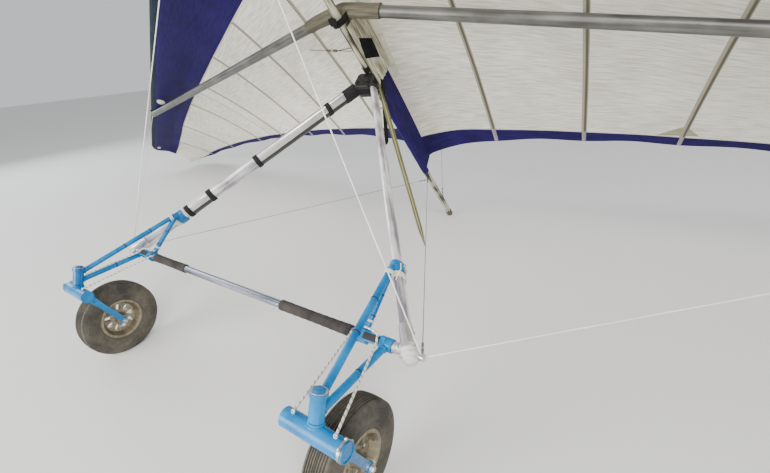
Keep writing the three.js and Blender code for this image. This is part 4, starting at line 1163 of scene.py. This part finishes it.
def tyre_profile():
    """Half a tyre's section: the bead, a wall whose bulge falls off by a power of the distance
    from its widest with four moulded rings, a rounded shoulder, and a tread crowned by a
    parabola with round-bottomed grooves; then its mirror image."""
    wall_radius = np.linspace(*TYRE["wall"], 46)
    off_widest = np.abs((wall_radius - TYRE["widest"]) / TYRE["tucked_over"])
    bulge = TYRE["half"] - TYRE["tucked"] * off_widest ** 2.2
    ring_depth = sum(TYRE["ring"] * np.exp(-((wall_radius - at) / TYRE["ring"]) ** 2) for at in TYRE["rings"])
    angle = np.linspace(0.25, 1.45, 10)[:, None]
    shoulder = TYRE["shoulder"] + TYRE["shoulder_round"] * np.hstack([np.sin(angle), np.cos(angle)])
    x = np.linspace(TYRE["tread_half"], 0, 90)
    crown = WHEEL["radius"] - TYRE["crowned"] * (x / TYRE["crowned_over"]) ** 2
    cuts = (np.clip(1 - ((x - at) / TYRE["groove_half"]) ** 4, 0, 1) for at in TYRE["grooves"])
    depth = sum(TYRE["deep"] * cut for cut in cuts)
    bead = [(0.0985, 0.0375), (0.1073, 0.0378), (0.1073, 0.0442), (0.1092, 0.0452)]
    return both_ways([*bead, *xyz(wall_radius, bulge - ring_depth), *shoulder, *xyz(crown - depth, x)])


barrel_half = [(0.0990, 0), (0.0985, 0.020), (0.1010, 0.037), (0.1068, 0.0385), (0.1070, 0.0425),
               (0.1055, 0.044), (0.0940, 0.044), (0.0915, 0.041), (0.0890, 0.030), (0.0810, 0.016),
               (0.0790, 0.010)]
hub_half = [(0.0083, 0.056), (0.0215, 0.056), (0.0230, 0.0545), (0.0235, 0.030), (0.0300, 0.016),
            (0.0390, 0.0135), (0.0400, 0.010)]
rim = [lathe(both_ways(barrel_half), (0, 0, 0), X_AXIS, 96, loop=True),
       lathe(both_ways(hub_half), (0, 0, 0), X_AXIS, 72, loop=True)]
for index in range(WHEEL["slots"]):
    rim += spoke(index)
rim_bolts = []
for index in (0, 3, 6):
    angle = (index + 0.5) * math.tau / WHEEL["slots"]
    for away in (-1, 1):
        at = (away * 0.012, WHEEL["bolts_at"] * math.sin(angle), WHEEL["bolts_at"] * math.cos(angle))
        rim_bolts += bolt(at, away * X_AXIS, 0.013, 0.009)
valve = np.array([0.030, 0.078 * math.sin(0.2), 0.078 * math.cos(0.2)])
rim_bolts.append(tube(valve, valve + (0.022, -0.001, -0.006), 0.0032, 16, 0.0008))
axle = [tube(AXLE - 0.0778 * X_AXIS, AXLE + 0.0778 * X_AXIS, 0.008, 24)]
tyre = [lathe(tyre_profile(), (0, 0, 0), X_AXIS, 128, loop=True)]

# Tyre rubber: dark brown-grey, dusted paler, with a fine grain.
tyre_rubber, shader = finish("tyre_rubber", 0.8)
(dust, _), (grain, _) = handled(shader, 11.0), handled(shader, 60.0)
tone = maths("ADD", times(dust, 0.7), times(grain, 0.3))
shaded(shader, ranged(tone, 0.36, 0.66), (46, 43, 37), (88, 83, 72))
bumped(shader, grain, 0.0006)
cast_alloy = anodised("cast_alloy", (106, 98, 80), (156, 147, 124), 0.42, 0.6, 60.0)

for side_name, sign in (("left", 1), ("right", -1)):
    caster = {"body": f"caster_{side_name}", "place": lambda points: parked(headed(points) * (sign, 1, 1))}
    wheel = {"body": f"wheel_{side_name}", "place": lambda points: caster["place"](points @ LEANING.T + AXLE)}
    piece(f"fork_frame_{side_name}", fork, gear_blue, "gear_paint", [f"fork_{side_name}"], **caster)
    piece(f"fork_hardware_{side_name}", hardware + eyes, zinc, "steel", **caster)
    piece(f"wheel_axle_{side_name}", axle, zinc, "steel", [f"axle_{side_name}"], **caster)
    piece(f"cast_rim_{side_name}", rim, cast_alloy, "rim_metal", [f"rim_{side_name}"], **wheel)
    piece(f"rim_bolts_{side_name}", rim_bolts, zinc, "steel", **wheel)
    piece(f"ribbed_tyre_{side_name}", tyre, tyre_rubber, "tyre", [f"tyre_{side_name}"], **wheel)


# Cords: two bungees a side that centre the caster, white cord lashed round the clamps, and
# a thin dark line with a toggle from the keel to the sail.
BUNGEE = 0.004
FLECKS = {"around": 0.0252, "along": 0.020}


def cord_along(points, radius, count=60, sides=12):
    """A cord through a few points, its corners rounded by three passes of averaging."""
    points = np.asarray(points, float)
    lengths = np.r_[0, np.cumsum(np.linalg.norm(np.diff(points, axis=0), axis=1))]
    stops = np.linspace(0, lengths[-1], count)
    path = xyz(*(np.interp(stops, lengths, values) for values in points.T))
    for _ in range(3):
        path[1:-1] = (path[:-2] + 2 * path[1:-1] + path[2:]) / 4
    ways = np.gradient(path, axis=0)
    steep = abs(ways[:, 2]).mean() > 0.8 * np.linalg.norm(ways, axis=1).mean()
    return capped(rings(path, oval(radius, radius, sides), Y_AXIS if steep else Z_AXIS))


def wound(centre, way, half_width, half_height, turns, radius, pitch):
    """Cord wound round an oval: a helix of a few turns, laid side by side."""
    way = unit(way)
    first, second = square_to(way, Y_AXIS)
    angle = steps(int(turns * 40), 0, turns * math.tau)
    path = centre + half_width * np.cos(angle) * first + half_height * np.sin(angle) * second
    return capped(rings(path + (angle / math.tau - turns / 2) * pitch * way, oval(radius, radius, 10), way))


# The bungees' braided white cover has short dark flecks that spiral round it.
bungee_cover, shader = finish("flecked_cord", 0.75)
around, along = (times(way, math.tau / FLECKS[key]) for way, key in zip(apart(metres(shader)), FLECKS))
first = maths("SINE", maths("ADD", along, around))
second = maths("SINE", maths("SUBTRACT", times(along, 6.0), times(around, 2.0)))
fleck = times(maths("GREATER_THAN", first, 0.55), maths("GREATER_THAN", second, -0.35))
shaded(shader, fleck, (228, 223, 208), (34, 34, 36))
bumped(shader, second, 0.0004)
lashing_cord = fabric("lashing_cord", (206, 200, 184), (238, 233, 220), 0.75, 500, 0.4, 0.0012)

outer_eye, inner_eye = (headed(CROWN + np.array([away, 1, 1]) * FORK["eye"]) for away in (1, -1))
BUNGEES = (
    [saddle_at + (-0.010, -0.010, 0.030), saddle_at + (0.030, -0.026, 0.026),
     sleeve_at + (-0.030, -0.034, 0.020), sleeve_at + (-0.018, -0.040, -0.012), outer_eye],
    [saddle_at + (-0.032, 0.012, 0.012), saddle_at + (-0.034, -0.026, -0.004),
     saddle_at + (-0.030, -0.050, -0.040), inner_eye],
)
LASHED = [(0.020, -0.040, 0.018), (0.036, -0.054, -0.006), (0.030, -0.050, -0.040), (0.024, -0.036, -0.052)]
lashing = [wound(clamp_at + 0.032 * down_way, down_way, 0.0206, 0.0396, 4, 0.0026, 0.0055),
           wound(mix(upper_at, clamp_front, 0.93), clamp_front - upper_at, 0.0162, 0.0162, 3, 0.0024, 0.0055),
           cord_along([clamp_at + at for at in LASHED], 0.0022, 40, 8),
           wound(mix(clamp_front, saddle_at, 0.80), saddle_at - clamp_front, 0.0155, 0.0155, 2.5, 0.0018,
                 0.004)]
for side_name, sign, turn in (("left", 1, list), ("right", -1, mirror)):
    for index, path in enumerate(BUNGEES):
        made, ends = turn([cord_along(path, BUNGEE, 90)]), (parked(at * (sign, 1, 1)) for at in path[-2:])
        piece(f"bungee_{side_name}_{index + 1}", made, bungee_cover, "webbing",
              body=("airframe", f"caster_{side_name}", *ends))
    piece(f"clamp_lashing_{side_name}", turn(lashing), lashing_cord, "wire")

LINE = np.array([-0.0205, -0.190, 0.0]), np.array([-0.650, -0.010, sail_height(0.650, -0.010) - CLOTH / 2])
line = [cord_along(LINE, 0.0022, 30, 10),
        bar(mix(*LINE, 0.33), mix(*LINE, 0.56), rounded(0.014, 0.012, 0.003), 0.004),
        cord_along([LINE[0] + (0, -0.020, 0.004), mix(*LINE, 0.34)], 0.0024, 12, 8)]
whipping = [bar(mix(*LINE, 0.40), mix(*LINE, 0.44), rounded(0.017, 0.015, 0.004), 0.002)]
piece("keel_line", line, olive_canvas, "webbing")
piece("keel_line_whipping", whipping, folds_painted_light_cloth, "webbing")


# Stay strap: olive webbing with a painted highlight, a lighter line down its middle, from the
# side of the apex block to the left rear wire, a little narrower toward the wire and drawn in at both ends.
STAY = {"from": np.array([0.050, 0.040, -0.036]), "wire_share": 0.60, "wide": (0.030, 0.022), "thick": 0.0022,
        "lean": (0.699, 0.277, 0.659)}
stay_painted_highlight_webbing, shader = finish("olive_stay_webbing_painted_highlight", 0.8)
uv, height, shade = woven(shader, 600, 0.3)
# Painted highlight: narrow pale lines along the strap.
middle = maths("LESS_THAN", maths("PINGPONG", apart(uv)[0], 0.0135), 0.0022)
shaded(shader, middle, blend(ranged(shade, *SHADES), (66, 66, 36), (92, 92, 54)), (140, 138, 98))
bumped(shader, height, 0.001)
stay_end = mix(wire_eye["rear"], wire_eye["corner"], STAY["wire_share"]) - (0.002, 0, 0)
stops = steps(40)
wide = mix(*STAY["wide"], stops) * np.clip(0.35 + 5 * stops, 0, 1) * np.clip(0.2 + 9 * (1 - stops), 0, 1)
stay_section = oval(STAY["thick"] / 2, 0.5, 20) * xyz(1, wide)
stay = [capped(rings(mix(STAY["from"], stay_end, stops), stay_section, STAY["lean"]))]
piece("olive_stay_strap", stay, stay_painted_highlight_webbing, "webbing")


# Hang loop: doubled black webbing over the keel behind the apex, upright as it hangs from
# the parked glider, with a shorter spare loop inside its sewn upper end.
HANG = {"y": 0.110, "half_width": 0.028, "drop": 0.340, "webbing": 0.004, "width": 0.042, "corner": 0.006}
SPARE = {"half_width": 0.0255, "top": -0.110, "drop": 0.325, "webbing": 0.0022, "width": 0.030}
LOOP_TOP = (0.021 + HANG["width"] / 2 * abs(AFT[2])) / abs(UP[2]) + 0.0006


def loop_path(half_width, top, drop):
    """A hanging loop seen along its axle: two straight falls, a half circle below, and a flat
    top with small round corners; drawn in X and world Z about the keel."""
    low, right, corner = np.linspace(math.pi, math.tau, 24), np.linspace(0, math.pi / 2, 6), HANG["corner"]
    bottom = xyz(half_width * np.cos(low), -drop + half_width + half_width * np.sin(low))
    tops = [xyz(away * (half_width - corner) + corner * np.cos(arc), top - corner + corner * np.sin(arc))
            for away, arc in ((1, right), (-1, right + math.pi / 2))]
    rising = np.linspace(half_width - drop, top - corner, 30)[1:-1]
    up, down = xyz(half_width, rising), xyz(-half_width, rising[::-1])
    return np.concatenate([bottom, up, *tops, down])


def webbing_loop(half_width, top, drop, width, thick):
    """Flat webbing carried round a loop's path and closed on itself: its thickness stands square
    to the path, and its width lies along Y."""
    path = loop_path(half_width + thick / 2, top + thick / 2, drop + thick / 2)
    following = unit(np.roll(path, -1, 0) - np.roll(path, 1, 0))
    flat = rounded(thick, width, thick * 0.45, 3)
    x, z = (path[:, None, k] + sign * following[:, None, 1 - k] * flat[:, 0] for k, sign in ((0, 1), (1, -1)))
    points = xyz(x, flat[:, 1], z)
    return grid(np.concatenate([points, points[:1]]), wrap=True)


hanging = [webbing_loop(HANG["half_width"], LOOP_TOP, HANG["drop"], HANG["width"], HANG["webbing"]),
           webbing_loop(SPARE["half_width"], SPARE["top"], SPARE["drop"], SPARE["width"], SPARE["webbing"])]
for x in (-0.0335, 0.0335):
    hanging.append(bar((x, 0, -0.150), (x, 0, -0.070), rounded(0.0028, 0.039, 0.0012, 3), 0.0008, Y_AXIS))
piece("hang_webbing", hanging, black_webbing, "webbing", ["hang_loop"], "loop",
      lambda points: parked((0, HANG["y"], 0)) + points)
apex_wrap = [band_round((0, y, 0), Y_AXIS, 0.0235, 0.0235) for y in (-0.066, 0.062)]
apex_wrap.append(bar((0, -0.019, -0.0705), (0, 0.019, -0.0705), rounded(0.1015, 0.1035, 0.014), 0.002))
piece("apex_webbing", apex_wrap, black_webbing, "webbing")


# Keel pocket: a navy cloth fin sewn under the sail, with a sleeve at its foot that holds
# the keel.
FIN = {"front_y": (0.165, 0.158, 0.149, 0.110, 0.086, 0.075),
       "front_z": (0.0, 0.040, 0.060, 0.079, 0.115, 0.150),
       "end": 0.985, "half": 0.004, "sleeve": 0.0258, "under": 0.002}


def keel_fin():
    """The web between a front edge that leans forward and the hem, from the keel to the sail."""
    share, up_share = steps(60), np.linspace(0, 1, 32)
    front_y = np.interp(up_share * FIN["front_z"][-1], FIN["front_z"], FIN["front_y"])
    hem_y = TRAILING["root"][0] - FIN["under"]
    y = mix(front_y, mix(FIN["end"], hem_y, up_share), share)
    z = (sail_height(0 * share, mix(front_y[-1], hem_y, share)) - FIN["under"]) * up_share
    return upright(y, z, FIN["half"], -FIN["half"])


sleeve_path = steps(60, FIN["front_y"][0] + 0.002, FIN["end"]) * Y_AXIS
pulled = 1 + 0.02 * np.sin(steps(60, 0, 40)) * np.sin(2 * round_about(40))
sleeve_section = oval(FIN["sleeve"], FIN["sleeve"]) * pulled[..., None]
fin = [*keel_fin(), capped(rings(sleeve_path, sleeve_section))]
piece("keel_fin", fin, navy_cloth, "navy_cloth", ["keel_pocket"])
